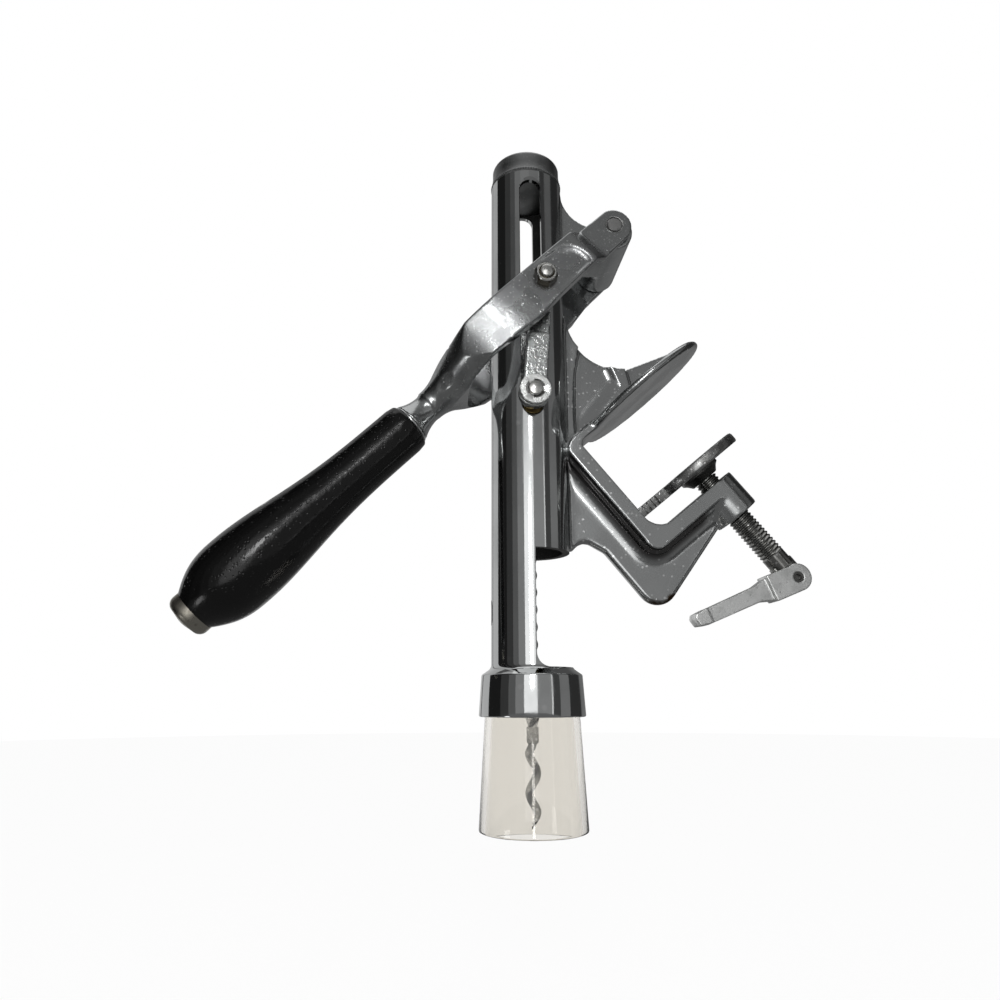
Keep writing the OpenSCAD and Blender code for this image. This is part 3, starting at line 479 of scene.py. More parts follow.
cap_metal = metal(
    "cap_metal", (0.26, 0.265, 0.265), (0.19, 0.195, 0.195), (0.34, 0.46), specks=(0.4, 0.4, 0.4),
    bump=0.012, Clouds=90, Grain=1500, Specks=900, Amount=0.3)
cap_outline = (
    [(0, 218), (12.2, 218), (12.2, 221.25), (14.75, 221.25), (15.05, 221.6), (15.05, 222.3), (14.95, 222.6)]
    + [(14.85, 223), (14.35, 226.6)] + arc((12.3, 229.4), 2.1, 12, 90, 8) + [(0, 231.5)])
cap = as_object(joined(turned(cap_outline, 192)), "top_cap")
fitted(cap, "frame", cap_metal, ["top_cap"], sharp=25)

TOOTH_COUNT, TOOTH_R, TOOTH_ROOT, TOOTH_H = 88, 15.2, 14.8, 0.9


def raise_faces(bm, height):
    """A flat shape becomes a solid of some height along Z."""
    raised = bmesh.ops.extrude_face_region(bm, geom=bm.faces[:], use_keep_orig=True)
    corners = [v for v in raised["geom"] if isinstance(v, bmesh.types.BMVert)]
    bmesh.ops.translate(bm, verts=corners, vec=(0, 0, height))


teeth = bmesh.new()
bmesh.ops.create_circle(teeth, cap_ends=True, segments=2 * TOOTH_COUNT, radius=TOOTH_R)
for corner in list(teeth.verts)[::2]:
    corner.co *= TOOTH_ROOT / TOOTH_R
raise_faces(teeth, TOOTH_H)
teeth.transform(Matrix.Translation((0, 0, 221.5)))
fitted(as_object(joined(teeth), "cap_teeth"), "frame", cap_metal, sharp=20)

# ---- Drive nut and its screw -----------------------------------------------------------
# Brass nut with a twisted oval hole, held in the bore by a socket screw from behind. Their
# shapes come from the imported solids; only their metals are given here.

brass = metal(
    "brass", (0.62, 0.46, 0.20), (0.40, 0.29, 0.13), (0.25, 0.4), bump=0.01,
    Clouds=80, Grain=1500, Specks=700, Amount=0.15)
dark_steel = metal(
    "dark_steel", (0.20, 0.20, 0.195), (0.10, 0.10, 0.095), (0.32, 0.5), specks=(0.35, 0.35, 0.34),
    bump=0.02, Clouds=120, Grain=1400, Specks=700, Amount=0.3)


def dressed_node(name, material):
    """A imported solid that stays, with its finish."""
    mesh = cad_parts[name].data
    mesh.materials.clear()
    mesh.materials.append(material)


dressed_node("drive_nut", brass)
dressed_node("nut_set_screw", dark_steel)

# ---- Bottle cup ------------------------------------------------------------------------
# Clear moulded cup pushed up into the bell, slightly yellowed and wide at the mouth. A ledge
# inside it stops the bottle's rim.

CUP_LOW, CUP_MOUTH_R, CUP_NECK_R, CUP_WALL = -38.5, 19.35, 17.3, 2.4
cup_outline = (
    [(CUP_MOUTH_R - 0.5, CUP_LOW), (CUP_MOUTH_R - 0.08, CUP_LOW + 0.2), (CUP_MOUTH_R, CUP_LOW + 0.6)]
    + [(CUP_NECK_R, -0.2), (CUP_NECK_R, 10), (CUP_NECK_R - CUP_WALL, 10), (CUP_NECK_R - CUP_WALL, 4.7)]
    + [(12.75, 4.5), (12.6, 4.3), (12.6, 2.2), (12.75, 2), (CUP_NECK_R - CUP_WALL, 1.8)]
    + [(CUP_NECK_R - CUP_WALL, 0), (CUP_MOUTH_R - CUP_WALL, CUP_LOW + 0.6)]
    + [(CUP_MOUTH_R - CUP_WALL + 0.12, CUP_LOW + 0.15), (CUP_MOUTH_R - CUP_WALL + 0.5, CUP_LOW)])
acrylic = bpy.data.materials.new("clear_acrylic")
acrylic.use_nodes = True
shader = acrylic.node_tree.nodes["Principled BSDF"]
shader.inputs["Base Color"].default_value = (0.84, 0.82, 0.78, 1)
shader.inputs["Transmission Weight"].default_value = 1.0
shader.inputs["Roughness"].default_value = 0.02
shader.inputs["IOR"].default_value = 1.49
cup = as_object(joined(turned(cup_outline, 160)), "bottle_cup")
fitted(cup, "frame", acrylic, ["bottle_cup"], sharp=25)

# ---- Fulcrum pin -----------------------------------------------------------------------
# Steel pin through the bracket and both eyes of the lever, ground flush with the eyes.

pin_steel = metal(
    "pin_steel", (0.46, 0.46, 0.455), (0.34, 0.34, 0.335), (0.26, 0.4), bump=0.012,
    Clouds=200, Grain=1300, Specks=600, Amount=0.25)


def both_ends(profile, steps, at):
    """A part turned about a line along Y, the same on both sides; the outline is (radius, y)."""
    return turned(profile + [(r, -y) for r, y in reversed(profile)], steps, along="Y", at=at)


pin_outline = [
    (0, 21.35), (2.7, 21.3), (2.95, 21.1), (3.0, 20.3), (3.45, 20.3), (3.5, 21.1), (3.75, 21.15),
    (3.9, 20.6), (3.4, 20.2)]
pin = as_object(joined(both_ends(pin_outline, 64, FULCRUM)), "fulcrum_pin")
fitted(pin, "frame", pin_steel, ["fulcrum_pin"])

# ---- Lever fork ------------------------------------------------------------------------
# Cast grey fork that straddles the barrel: two eyes, two stepped arms with a shallow arched
# panel in their faces, and a round neck. Its plating is dull and pitted.

LEVER_REST = math.radians(44.3)
ON_LEVER = Matrix.Translation(FULCRUM) @ Matrix.Rotation(-LEVER_REST, 4, "Y")
ARM_FACE, PANEL_Y = 28.1, 27.2


def from_cad(node):
    """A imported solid's shape, in millimetres from the bell's foot, to work on."""
    bm = bmesh.new()
    bm.from_mesh(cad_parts[node].data)
    bm.transform(TO_FRAME.inverted())
    bmesh.ops.remove_doubles(bm, verts=bm.verts, dist=0.002)
    return bm


lever_metal = metal(
    "lever_metal", (0.42, 0.43, 0.43), (0.28, 0.285, 0.29), (0.20, 0.32),
    specks=(0.70, 0.71, 0.71), speck_mix=0.5, bump=0.03, Clouds=75, Grain=1100, Specks=900, Amount=0.3)

EYE_R, EYE_IN, EYE_OUT, EYE_END, RAMP_END = 7.2, 17.3, 20.9, 13.5, 20.7
ARM_IN, GAP_STRAIGHT, GAP_CORNER = 23.1, 72, 17
fork_side = (
    arc((0, 0), EYE_R, -80, 80, 20)
    + [(-22, 7.4), (-58, 7.6), (-80, 7.4), (-90, 7.4), (-94, 7), (-98, 6.3), (-104, 6)]
    + [(-104, -7.8), (-98, -7.8), (-94, -8.3), (-90, -8.9), (-76, -9.3), (-66, -10.2), (-54, -10.6)]
    + [(-40, -9.2), (-22, -8.2)])
# The plan is one closed outline of both arms: outside to outside, then back along the gap
outside = (
    [(EYE_R + 1, EYE_IN), (EYE_R + 1, EYE_OUT), (-EYE_END, EYE_OUT), (-RAMP_END, ARM_FACE)]
    + arc((-60, -42.9), 71, 90, 103, 8) + arc((-70.1, 0.87), 26.1, 103, 147, 16)
    + arc((-104, 20.05), 12.75, -33, -90, 12))
gap_side = (
    [(-EYE_END + 1, EYE_IN), (-EYE_END + 1 - 5.8, ARM_IN)]
    + arc((-GAP_STRAIGHT, ARM_IN - GAP_CORNER), GAP_CORNER, 90, 180, 18))
fork_plan = (
    outside + [(x, -y) for x, y in reversed(outside)] + [(x, -y) for x, y in gap_side] + gap_side[::-1])
# Sections of the shoulder go from nearly square at the arms to round at the neck
shoulder_outline = (
    [(0, -10), (34, -10), (28, 54)] + arc((26.8, 103), 20.5, 206, 180, 10) + [(6.3, 104), (0, 104)])
SQUARE_REACH, NECK_X = 14, -102
shoulder = turned(shoulder_outline, 96)
shoulder.transform(Matrix.Translation((0, 0, -0.9)) @ Matrix.Rotation(-math.pi / 2, 4, "Y"))
for corner in shoulder.verts:
    corner.co.y *= 1.05 + 0.9 * min(1, max(0, (corner.co.x - NECK_X) / SQUARE_REACH))
fork_piece = as_object(joined(plate(fork_side, -29, 29)), "fork")
worked(fork_piece, "INTERSECT", plate(fork_plan, -14, 14, "Z"), shoulder)
# The panel fades out towards the neck, so its tool's floor rises to the arm's face
arch = [
    (-38, 6.3), (-31, 5.7), (-27, 4.4), (-24.4, 1.9), (-23, -1.5), (-22.8, -5), (-23.4, -7.2), (-58, -9.0),
    (-58, 6.6)]
panel_tools = []
for side in (-1, 1):
    tool = plate(arch, side * PANEL_Y, side * (ARM_FACE + 4))
    for corner in tool.verts:
        if corner.co.x < -50 and abs(corner.co.y) < ARM_FACE:
            corner.co.y = side * (ARM_FACE + 0.15)
    panel_tools.append(tool)
worked(fork_piece, "DIFFERENCE", *panel_tools)
fork_shape = bmesh.new()
fork_shape.from_mesh(fork_piece.data)
bpy.data.objects.remove(fork_piece)
neck_outline = [
    (0, -0.05), (8.0, -0.05), (8.35, 0.25), (8.1, 0.8), (7.45, 2.1), (6.85, 3.6), (6.4, 5.2), (6.05, 7),
    (5.9, 9), (5.9, 11), (6.1, 13), (6.5, 15), (6.9, 17.5), (6.3, 20.5), (0, 20.5)]
neck = turned(neck_outline, 64)
neck.transform(Matrix.Translation((-114, 0, -1.5)) @ Matrix.Rotation(math.pi / 2 - 0.0375, 4, "Y"))
pin_hole = turned([(0, -30), (3.42, -30), (3.42, 30), (0, 30)], 48, along="Y")
fork = cast(joined(fork_shape, neck), "lever_fork", 0.45, edge=3, fill=30)
worked(fork, "DIFFERENCE", pin_hole)
fork.data.transform(ON_LEVER)
fitted(fork, "lever", lever_metal, ["lever_fork"], sharp=60)

# ---- Handle ----------------------------------------------------------------------------
# A wooden grip turned on a lathe and lacquered black, on a steel rod. A thin ferrule closes
# it at the neck, and a domed cap is screwed on at its end.

GRIP_START, GRIP_LEN, GRIP_DROP, GRIP_R = 114, 106, 1.7, 15.1
GRIP_PLACE = Matrix.Translation((-GRIP_START, 0, -GRIP_DROP))
ALONG_GRIP = ON_LEVER @ GRIP_PLACE @ Matrix.Rotation(-math.pi / 2, 4, "Y")


def along_grip(bm):
    bm.transform(ALONG_GRIP)
    return bm


def grip_radius(f):
    if f < 0.78:
        return 10.1 + (GRIP_R - 10.1) * (1 - math.cos(math.pi * (f / 0.78) ** 1.7)) / 2
    return 8.5 + (GRIP_R - 8.5) * math.cos(math.pi / 2 * ((f - 0.78) / 0.22) ** 1.5)


grip_outline = (
    [(0, 0.8), (8.3, 0.8)] + arc((8.4, 2.1), 1.3, -90, 0, 6)
    + [(grip_radius(i / 72), 3.2 + 102.8 * i / 72) for i in range(1, 73)] + [(0, GRIP_LEN)])
lacquer = bpy.data.materials.new("black_lacquer")
lacquer.use_nodes = True
tree = lacquer.node_tree
shader = tree.nodes["Principled BSDF"]
chipped_look = {"Clouds": 70.0, "Grain": 900.0, "Specks": 95.0, "Amount": 0.02}
brushed_look = {"Clouds": 260.0, "Grain": 420.0, "Specks": 900.0, "Amount": 0.3}
worn = add(tree, "ShaderNodeGroup", chipped_look, node_tree=skin)
fine = add(tree, "ShaderNodeGroup", brushed_look, node_tree=skin)
chips = times(tree, worn.outputs["Speck"], 0.9)
tree.links.new(mixed(tree, chips, (0.002, 0.002, 0.002), (0.7, 0.7, 0.68)), shader.inputs["Base Color"])
tree.links.new(spread(tree, fine.outputs["Dull"], 0, 1, 0.11, 0.2), shader.inputs["Roughness"])
shader.inputs["Specular IOR Level"].default_value = 0.35
relief = add(tree, "ShaderNodeBump", {"Strength": 1.0, "Distance": 0.00007, "Height": fine.outputs["Height"]})
tree.links.new(relief.outputs["Normal"], shader.inputs["Normal"])
grip = as_object(along_grip(joined(turned(grip_outline, 128))), "handle_grip")
fitted(grip, "lever", lacquer, ["handle_grip"], sharp=35)

ferrule_outline = [
    (4.2, -0.1), (7.9, -0.1), (8.4, 0.1), (8.5, 0.4), (8.45, 0.7), (7.4, 0.85), (7.4, 2.4), (4.2, 2.4)]
ferrule = as_object(along_grip(joined(turned(ferrule_outline, 96))), "grip_ferrule")
fitted(ferrule, "lever", mirror_chrome, ["grip_ferrule"])

end_metal = metal(
    "end_cap_metal", (0.42, 0.40, 0.35), (0.30, 0.28, 0.24), (0.24, 0.42),
    specks=(0.2, 0.18, 0.15), bump=0.015, Clouds=130, Grain=1300, Specks=500, Amount=0.2)
end_outline = (
    [(0, 106), (8.6, 106), (8.62, 107.4)] + arc((5.6, 108.2), 3, 0, 62, 8)
    + [(4.6, 111.4), (2.4, 111.95), (0, 112.2)])
end_cap = as_object(along_grip(joined(turned(end_outline, 96))), "end_cap")
fitted(end_cap, "lever", end_metal, ["end_cap"], sharp=50)
dressed_node("handle_rod", pin_steel)

# ---- Studs and their nuts --------------------------------------------------------------
# A shouldered stud stands in each arm, with a plain nut on its outer end. Both are steel that
# has gone brownish, and the stud's end is bright.

STUD_REACH = 41.7  # from the fulcrum pin
STUD = ON_LEVER @ Vector((-STUD_REACH, 0, 0))
stud_steel = metal(
    "stud_steel", (0.66, 0.66, 0.64), (0.48, 0.48, 0.46), (0.22, 0.34), bump=0.01,
    Clouds=250, Grain=1500, Specks=800, Amount=0.2)
stud_outline = [
    (0, 32.5), (1.95, 32.45), (2.3, 32.25), (2.45, 31.9), (2.45, 23), (4, 23), (4, 17.4), (0, 17.4)]
studs = [stud_outline, [(r, -y) for r, y in stud_outline]]
stud = as_object(joined(*[turned(side, 48, along="Y", at=STUD) for side in studs]), "lever_studs")
fitted(stud, "lever", stud_steel, ["lever_studs"])

NUT_FLATS = 8
nut_steel = metal(
    "nut_steel", (0.09, 0.08, 0.06), (0.04, 0.036, 0.028), (0.26, 0.42), specks=(0.3, 0.27, 0.2), bump=0.015,
    Clouds=260, Grain=1400, Specks=700, Amount=0.3)
dome = [
    (2.5, 27.2), (4.7, 27.2), (4.7, 30.1), (4.0, 30.75), (3.7, 31.2), (3.1, 31.2), (2.95, 30.9), (2.5, 30.9)]


def hexagon(side):
    bm = bmesh.new()
    bmesh.ops.create_circle(bm, cap_ends=True, segments=6, radius=NUT_FLATS / 2 / math.cos(math.pi / 6))
    raise_faces(bm, 10)
    bm.transform(
        Matrix.Translation(STUD) @ Matrix.Rotation(-LEVER_REST + math.pi / 6, 4, "Y")
        @ Matrix.Rotation(-side * math.pi / 2, 4, "X") @ Matrix.Translation((0, 0, 25)))
    return bm


for side, name in ((-1, "nut_front"), (1, "nut_rear")):
    nut = as_object(joined(turned([(r, side * y) for r, y in dome], 48, along="Y", at=STUD)), name)
    worked(nut, "INTERSECT", hexagon(side))
    fitted(nut, "lever", nut_steel, ["stud_nuts"], sharp=25)
    nut.data.materials.append(stud_steel)
    for face in nut.data.polygons:
        out_y = abs(face.center.y) * 1000
        if out_y > 30.85 and (face.center.xz * 1000 - (STUD - SEAT).xz).length > 2.85:
            face.material_index = 1

# ---- Links -----------------------------------------------------------------------------
# Two flat steel links between the lever and the cross pin, thinned at the top to pass inside
# the eyes. Their faces look hammered.

link_metal = metal(
    "link_metal", (0.78, 0.80, 0.79), (0.36, 0.375, 0.37), (0.16, 0.30),
    specks=(0.9, 0.92, 0.92), speck_mix=0.6, bump=0.12, Clouds=430, Grain=620, Specks=900, Amount=0.35)
CROSS_PIN = Vector((0, 0, 119.2275))
LEAN = math.radians(4.744)  # from the cross pin up to the stud
UPRIGHT_LINK = Matrix.Rotation(-LEAN, 4, "Y") @ Matrix.Translation(-CROSS_PIN)
for name in ("link_front", "link_rear"):
    link = cast(from_cad(name), name, 0.35, edge=2, fill=4, turn=UPRIGHT_LINK)
    fitted(link, "links", link_metal, [name], sharp=60)
dressed_node("link_journals", dark_steel)

# ---- Carriage and cross pin ------------------------------------------------------------
# The carriage slides in the bore and carries the cross pin. On each side a dark spacer and a
# push-on ring with inner teeth hold the link.

dressed_node("carriage", brass)
cross_outline = [(0, 23.5), (1.6, 23.45), (2.5, 23.2), (2.9, 22.6)]
cross = as_object(joined(both_ends(cross_outline, 64, CROSS_PIN)), "cross_pin")
fitted(cross, "carriage", stud_steel, ["cross_pin"])

ring_steel = metal(
    "ring_steel", (0.80, 0.81, 0.80), (0.58, 0.59, 0.58), (0.24, 0.38), specks=(0.45, 0.45, 0.44), bump=0.01,
    Clouds=300, Grain=1400, Specks=900, Amount=0.25)
for side, end in ((-1, "front"), (1, "rear")):
    spacer_outline = [(3, 19.6), (5.5, 19.6), (5.75, 19.8), (5.75, 21.0), (5.6, 21.15), (3, 21.15)]
    spacer_side = [(r, side * y) for r, y in spacer_outline]
    spacer = as_object(joined(turned(spacer_side, 64, along="Y", at=CROSS_PIN)), "spacer_" + end)
    fitted(spacer, "carriage", dark_steel, ["link_spacers"])
    ring_outline = [
        (3.02, 21.2), (5.8, 21.2), (6.1, 21.45), (6.1, 21.85), (5.8, 22.15), (3.6, 22.15), (3.02, 22.0)]
    ring_side = [(r, side * y) for r, y in ring_outline]
    ring = as_object(joined(turned(ring_side, 72, along="Y", at=CROSS_PIN)), "push_ring_" + end)
    # Between its three teeth the ring stands clear of the pin
    gap_outline = [(2.5, side * 20.5), (3.85, side * 20.5), (3.85, side * 23), (2.5, side * 23)]
    gaps = [turned(gap_outline, 16, tooth, 84, "Y", CROSS_PIN) for tooth in (20, 140, 260)]
    worked(ring, "DIFFERENCE", *gaps)
    fitted(ring, "carriage", ring_steel, ["retaining_rings"], sharp=25)
dressed_node("thrust_washer", dark_steel)
dressed_node("spindle_plug", dark_steel)

# ---- Spindle and worm ------------------------------------------------------------------
# The spindle is an oval bar twisted to a steep thread. The worm is an open helix of steel
# wire drawn to a point, let into the spindle's lower end.

LEAD, SPINDLE_LONG, SPINDLE_SHORT = 13, 2.5, 1.75
SPINDLE_LOW, SPINDLE_HIGH = -3.5, 107.6
spindle_steel = metal(
    "spindle_steel", (0.50, 0.50, 0.49), (0.33, 0.33, 0.32), (0.2, 0.34), bump=0.01,
    Clouds=120, Grain=1300, Specks=600, Amount=0.25)
turns = (SPINDLE_HIGH - SPINDLE_LOW) / LEAD
twist_steps = round(36 * turns)
bar = bmesh.new()
bmesh.ops.create_circle(bar, cap_ends=True, segments=32, radius=1)
bar.transform(
    Matrix.Translation((0, 0, SPINDLE_LOW)) @ Matrix.Rotation(2 * math.pi * SPINDLE_LOW / LEAD, 4, "Z")
    @ Matrix.Diagonal((SPINDLE_LONG, SPINDLE_SHORT, 1, 1)))
bmesh.ops.spin(
    bar, geom=bar.verts[:] + bar.edges[:] + bar.faces[:], cent=(0, 0, 0), axis=(0, 0, 1),
    dvec=(0, 0, (SPINDLE_HIGH - SPINDLE_LOW) / twist_steps), angle=2 * math.pi * turns, steps=twist_steps)
head = turned([(0, 106), (2.7, 106), (2.7, 110.9), (5.2, 110.98), (5.2, 113.18), (0, 113.18)], 64)
spindle = as_object(joined(bar, head), "spindle")
fitted(spindle, "spindle", spindle_steel, ["spindle"])

WORM_TOP, WORM_LEN, WIRE_R, WORM_R, WORM_START = -9, 28, 1.5, 1.35, math.radians(-80)
wire = bpy.data.curves.new("worm_wire", "CURVE")
wire.dimensions, wire.bevel_depth, wire.bevel_resolution, wire.use_fill_caps = "3D", WIRE_R, 6, True
WORM_POINTS = 150
line = wire.splines.new("POLY")
line.points.add(WORM_POINTS - 1)
for i, point in enumerate(line.points):
    down = WORM_LEN * i / (WORM_POINTS - 1)
    angle = WORM_START - 2 * math.pi * down / LEAD
    out_r = WORM_R * min(1, down / 4) * (1 - 0.35 * max(0, (down - WORM_LEN + 5) / 5))
    point.co = (out_r * math.cos(angle), out_r * math.sin(angle), WORM_TOP + 1 - down, 1)
    point.radius = min(1, 0.10 + (WORM_LEN - down) / 6)
wire_object = bpy.data.objects.new("worm_wire", wire)
scene.collection.objects.link(wire_object)
wire_mesh = bpy.data.meshes.new_from_object(wire_object.evaluated_get(bpy.context.evaluated_depsgraph_get()))
bpy.data.objects.remove(wire_object)
helix = bmesh.new()
helix.from_mesh(wire_mesh)
shank = turned([(0, -9.4), (1.5, -9.2), (2.1, -8.6), (2.2, -8), (2.2, -3.5), (0, -3.5)], 48)
worm = as_object(joined(helix, shank), "worm")
worm_steel = metal(
    "worm_steel", (0.34, 0.34, 0.325), (0.22, 0.22, 0.21), (0.24, 0.4), bump=0.012,
    Clouds=150, Grain=1300, Specks=600, Amount=0.25)
fitted(worm, "spindle", worm_steel, ["worm"])

# ---- Pressure pad ----------------------------------------------------------------------
# Round cast plate that the screw presses under the counter, with a notched tongue that slides
# on the clamp's back. A conical socket under it holds the screw's head.

pad_metal = metal(
    "pad_metal", (0.36, 0.365, 0.36), (0.20, 0.20, 0.195), (0.26, 0.42),
    specks=(0.85, 0.85, 0.85), speck_mix=0.8, bump=0.03, Clouds=260, Grain=1000, Specks=900, Amount=0.35)
PAD_R, PAD_LOW, PAD_TOP, TONGUE_HALF = 19.5, 29.1, 33.3, 6
pad_outline = (
    [(0, PAD_LOW), (PAD_R - 0.5, PAD_LOW), (PAD_R - 0.1, PAD_LOW + 0.4), (PAD_R, PAD_LOW + 1.2)]
    + [(PAD_R, PAD_TOP - 1), (PAD_R - 0.3, PAD_TOP - 0.3), (PAD_R - 1, PAD_TOP), (0, PAD_TOP)])


def notched(y):
    """One side of the tongue, with its row of notches."""
    notch = [(0, y), (0, y * 0.8), (1.0, y * 0.8), (1.0, y)]
    notches = [(u + step, side) for u in (82.4, 84.6, 86.8, 89.0) for step, side in notch]
    return [(81, y)] + notches + [(100, y)]


tongue = rounded(plate(notched(-TONGUE_HALF) + notched(TONGUE_HALF)[::-1], PAD_LOW, PAD_TOP, "Z"), 0.3, 2)
pad = as_object(sloped(joined(turned(pad_outline, 192, at=(SCREW_U, 0, 0)), tongue)), "clamp_pad")
fitted(pad, "clamp_pad", pad_metal, ["clamp_pad"], sharp=40)
socket_outline = [(3.5, 25.1), (5.5, 25.1), (5.9, 25.4), (7.2, 27.1), (8.6, 28.2), (8.6, 29.2), (3.5, 29.2)]
socket = as_object(sloped(joined(turned(socket_outline, 96, at=(SCREW_U, 0, 0)))), "pad_socket")
fitted(socket, "clamp_pad", dark_steel, ["pad_socket"], sharp=40)

# ---- Clamp screw -----------------------------------------------------------------------
# Steel screw with a cut thread, a head that turns in the pad's socket and, below, a flat tang
# for the thumb lever.

SCREW_R, PITCH, THREAD_LOW, THREAD_HIGH, SHANK_LOW, THUMB_N = 4.75, 1.5875, -14.5, 24.9, -20.7, -26.4
ROOT_R = SCREW_R - 0.38 * PITCH
STEPS_A_TURN = 40
screw_steel = metal(
    "screw_steel", (0.30, 0.30, 0.29), (0.20, 0.20, 0.19), (0.16, 0.28), bump=0.004,
    Clouds=160, Grain=1300, Specks=600, Amount=0.25)
thread = bmesh.new()
# One turn of the thread's section: radius, and height as a share of the pitch
thread_outline = [
    (ROOT_R, 0), (ROOT_R + 0.04, 0.16), (SCREW_R - 0.12, 0.4), (SCREW_R, 0.5), (SCREW_R, 0.6),
    (SCREW_R - 0.12, 0.7), (ROOT_R + 0.04, 0.94), (ROOT_R, 1)]
groove = [thread.verts.new((r, 0, THREAD_LOW - 2 * PITCH + h * PITCH)) for r, h in thread_outline]
for pair in zip(groove, groove[1:]):
    thread.edges.new(pair)
thread_turns = math.ceil((THREAD_HIGH - THREAD_LOW) / PITCH) + 4
bmesh.ops.spin(
    thread, geom=thread.verts[:] + thread.edges[:], cent=(0, 0, 0), axis=(0, 0, 1),
    dvec=(0, 0, PITCH / STEPS_A_TURN), angle=2 * math.pi * thread_turns, steps=STEPS_A_TURN * thread_turns)
bmesh.ops.remove_doubles(thread, verts=thread.verts, dist=0.001)
for level, up in ((THREAD_LOW, 1), (THREAD_HIGH, -1)):
    bmesh.ops.bisect_plane(
        thread, geom=thread.verts[:] + thread.edges[:] + thread.faces[:], plane_co=(0, 0, level),
        plane_no=(0, 0, -up), clear_outer=True)
bmesh.ops.holes_fill(thread, edges=[e for e in thread.edges if e.is_boundary], sides=0)
thread.transform(Matrix.Translation((SCREW_U, 0, 0)))
core_outline = [
    (0, SHANK_LOW), (4.3, SHANK_LOW), (4.6, SHANK_LOW + 0.3), (4.6, THREAD_LOW + 0.1),
    (ROOT_R + 0.2, THREAD_LOW + 0.5), (ROOT_R - 0.05, THREAD_LOW + 0.8), (ROOT_R - 0.05, THREAD_HIGH - 0.2),
    (3.4, THREAD_HIGH), (3.4, 27.4), (4.4, 27.4), (4.4, 29), (0, 29)]
core = turned(core_outline, 64, at=(SCREW_U, 0, 0))
tang_outline = [(SCREW_U + x, THUMB_N + z) for x, z in arc((0, 0), 4.6, 180, 360, 24) + [(4.6, 8), (-4.6, 8)]]
tang = plate(tang_outline, -2.4, 2.4)
bmesh.ops.bevel(
    tang, geom=tang.edges[:], offset=0.35, segments=2, profile=0.5, affect="EDGES", material=-1)
screw = as_object(sloped(joined(thread, core, tang)), "clamp_screw")
fitted(screw, "clamp_screw", screw_steel, ["clamp_screw"])

# ---- Thumb lever -----------------------------------------------------------------------
# A light casting forked round the screw's tang, swinging on a hollow pin. Its slim arm ends in
# a cross piece for the thumb.

thumb_metal = metal(
    "thumb_metal", (0.90, 0.91, 0.90), (0.66, 0.67, 0.66), (0.34, 0.48),
    specks=(0.35, 0.35, 0.35), speck_mix=0.4, bump=0.03, Clouds=140, Grain=1100, Specks=700, Amount=0.25)
thumb_x, thumb_z = upright(SCREW_U, THUMB_N)
THUMB_PIN = Vector((thumb_x, 0, thumb_z))
ON_THUMB = Matrix.Translation(THUMB_PIN) @ Matrix.Rotation(math.radians(17.5) - TILT, 4, "Y")
thumb = cast(from_cad("thumb_lever"), "thumb_lever", 0.3, edge=2, fill=6, turn=ON_THUMB.inverted())
fitted(thumb, "thumb_lever", thumb_metal, ["thumb_lever"], sharp=60)
hollow_pin = [(0, 3.1), (1.1, 3.1), (1.1, 4.0), (1.3, 4.3), (2.05, 4.3)]
thumb_pin = as_object(joined(both_ends(hollow_pin, 40, THUMB_PIN)), "thumb_pin")
fitted(thumb_pin, "thumb_lever", dark_steel, ["thumb_pin"])

# ---- Camera, floor and light -----------------------------------------------------------
# The camera stands low in front and a little to the left, as the photographer did. A pale
# floor lies well below, small soft boxes light the front, and grey flats stand round about.

# The camera looks up by CAMERA_RISE, is turned off straight ahead and hardly rolls
CAMERA_RISE, CAMERA_ROLL, CAMERA_TURN = 14.8165, 0.1313, -5.0577
camera_data = bpy.data.cameras.new("camera")
camera_data.lens, camera_data.sensor_width = 26.753, 36
camera = bpy.data.objects.new("camera", camera_data)
aimed = Euler([math.radians(a) for a in (90 + CAMERA_RISE, CAMERA_ROLL, CAMERA_TURN)])
camera.matrix_world = Matrix.Translation((-0.084176, -0.279259, -0.119687)) @ aimed.to_matrix().to_4x4()
scene.collection.objects.link(camera)
scene.camera = camera

scene.view_settings.view_transform = "Standard"
world = bpy.data.worlds.new("studio")
scene.world = world
world.use_nodes = True
world.node_tree.nodes["Background"].inputs["Color"].default_value = (1, 1, 1, 1)
world.node_tree.nodes["Background"].inputs["Strength"].default_value = 1.0

FLOOR_Z, CARD_Z, FLAT_LOW, FLAT_HIGH = -0.40, -0.37, -0.38, 1.5
FLAT_R, TO_CAMERA, RING_X = 0.8, -97.4, -0.0477  # the ring stands round the barrel's axis


def matt(name, colour):
    """A dull paint for what stands round the object."""
    paint = bpy.data.materials.new(name)
    paint.use_nodes = True
    surface = paint.node_tree.nodes["Principled BSDF"]
    surface.inputs["Base Color"].default_value = (*colour, 1)
    surface.inputs["Roughness"].default_value = 1.0
    surface.inputs["Specular IOR Level"].default_value = 0.0
    return paint, surface


def only_reflected(piece):
    """A stage piece that glows and shows in reflections alone."""
    piece.visible_camera = piece.visible_diffuse = piece.visible_transmission = piece.visible_shadow = False


floor_bm = bmesh.new()
bmesh.ops.create_circle(floor_bm, cap_ends=True, segments=96, radius=6)
floor = as_object(floor_bm, "floor")
floor.data.transform(Matrix.Translation((0, 0, FLOOR_Z)))
floor.data.materials.append(matt("floor_paint", (0.97, 0.97, 0.97))[0])


def soft_box(name, at, aim, size, power):
    data = bpy.data.lights.new(name, "AREA")
    data.shape, data.size, data.size_y, data.energy = "RECTANGLE", *size, power
    lamp = bpy.data.objects.new(name, data)
    towards = (Vector(aim) - Vector(at)).to_track_quat("-Z", "Y")
    lamp.matrix_world = Matrix.Translation(at) @ towards.to_matrix().to_4x4()
    scene.collection.objects.link(lamp)


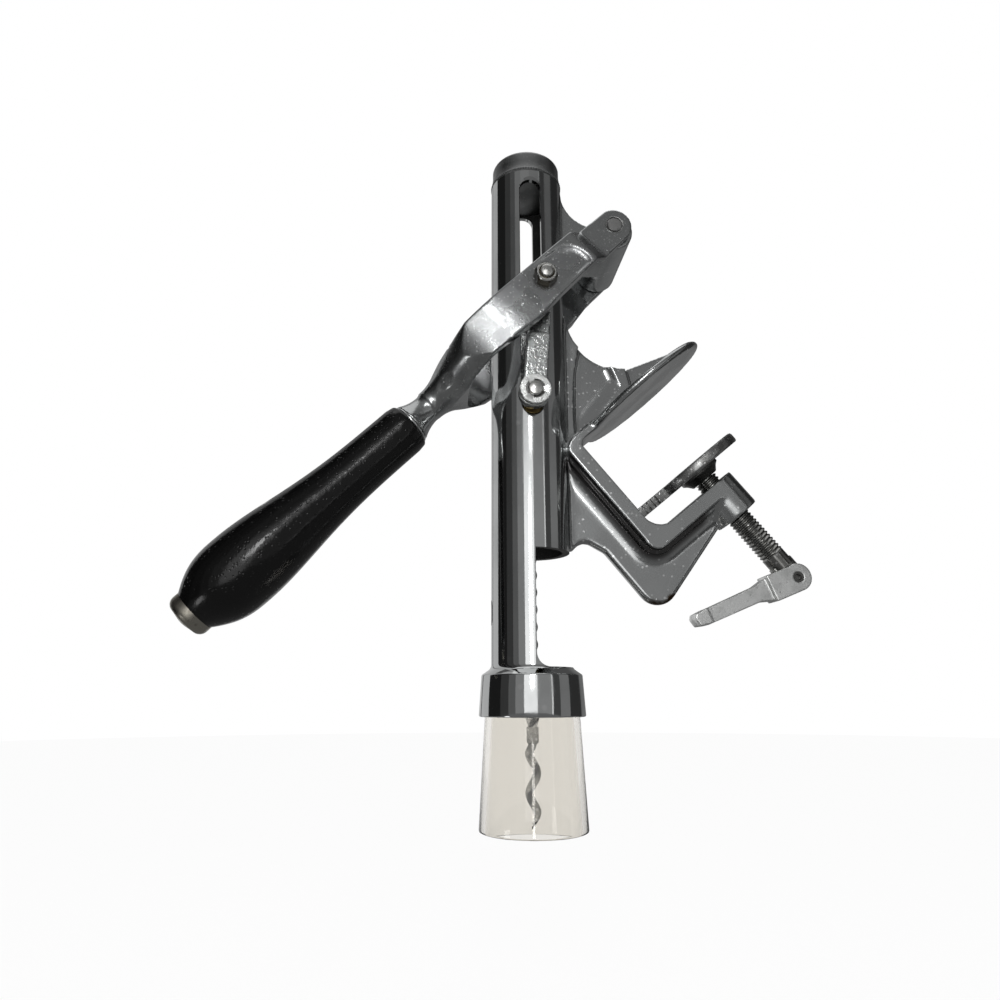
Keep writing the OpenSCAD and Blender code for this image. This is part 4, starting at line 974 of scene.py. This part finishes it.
soft_box("key", (-0.078, -0.73, 0.285), (-0.06, 0, 0.02), (0.10, 0.07), 0.25)
soft_box("window", (-0.14, -0.75, 0.05), (-0.12, 0, -0.02), (0.08, 0.22), 0.6)
soft_box("low_left", (-0.43, -0.19, -0.31), (-0.11, -0.018, 0.0), (0.09, 0.07), 0.06)

# Each flat has its two sides, in degrees from the camera's side, and its grey below and above
FLATS = [
    (-180, -146, 0.60, 0.50), (-146, -141, 0.10, 0.10), (-141, -108, 0.60, 0.50), (-108, -72, 0.015, 0.015),
    (-72, -52, 0.05, 0.05), (-52, -36, 0.13, 0.09), (-36, -17, 0.28, 0.20), (-17, 11.5, 1.35, 0.24),
    (11.5, 43, 0.32, 0.20), (43, 46, 1.0, 0.3), (46, 63, 0.07, 0.05), (63, 89, 0.22, 0.14),
    (89, 130, 0.04, 0.03), (130, 180, 0.20, 0.10)]
for number, (start, end, low_grey, high_grey) in enumerate(FLATS):
    flat_bm = bmesh.new()
    foot = flat_bm.verts.new((FLAT_R, 0, FLAT_LOW))
    head_point = flat_bm.verts.new((FLAT_R, 0, FLAT_HIGH))
    edge = flat_bm.edges.new((foot, head_point))
    first_side = Matrix.Rotation(math.radians(TO_CAMERA + start), 3, "Z")
    bmesh.ops.rotate(flat_bm, verts=flat_bm.verts, cent=(0, 0, 0), matrix=first_side)
    bmesh.ops.spin(
        flat_bm, geom=[foot, head_point, edge], cent=(0, 0, 0), axis=(0, 0, 1),
        angle=math.radians(end - start), steps=24)
    flat = as_object(flat_bm, f"flat_{number}")
    flat.data.transform(Matrix.Translation((RING_X, 0, 0)))
    paint, surface = matt(f"flat_paint_{number}", (0, 0, 0))
    tree = paint.node_tree
    where = add(tree, "ShaderNodeTexCoord").outputs["Object"]
    height = add(tree, "ShaderNodeSeparateXYZ", {0: where}).outputs["Z"]
    fade = spread(tree, height, 0.12, 0.5, low_grey, high_grey)
    tree.links.new(fade, surface.inputs["Emission Color"])
    surface.inputs["Emission Strength"].default_value = 1.0
    flat.data.materials.append(paint)
    only_reflected(flat)

card_bm = bmesh.new()
bmesh.ops.create_circle(card_bm, cap_ends=True, segments=48, radius=FLAT_R)
card = as_object(card_bm, "low_card")
card.data.transform(Matrix.Translation((RING_X, 0, CARD_Z)))
card_paint, surface = matt("card_paint", (0, 0, 0))
surface.inputs["Emission Color"].default_value = (0.16, 0.16, 0.16, 1)
surface.inputs["Emission Strength"].default_value = 1.0
card.data.materials.append(card_paint)
only_reflected(card)
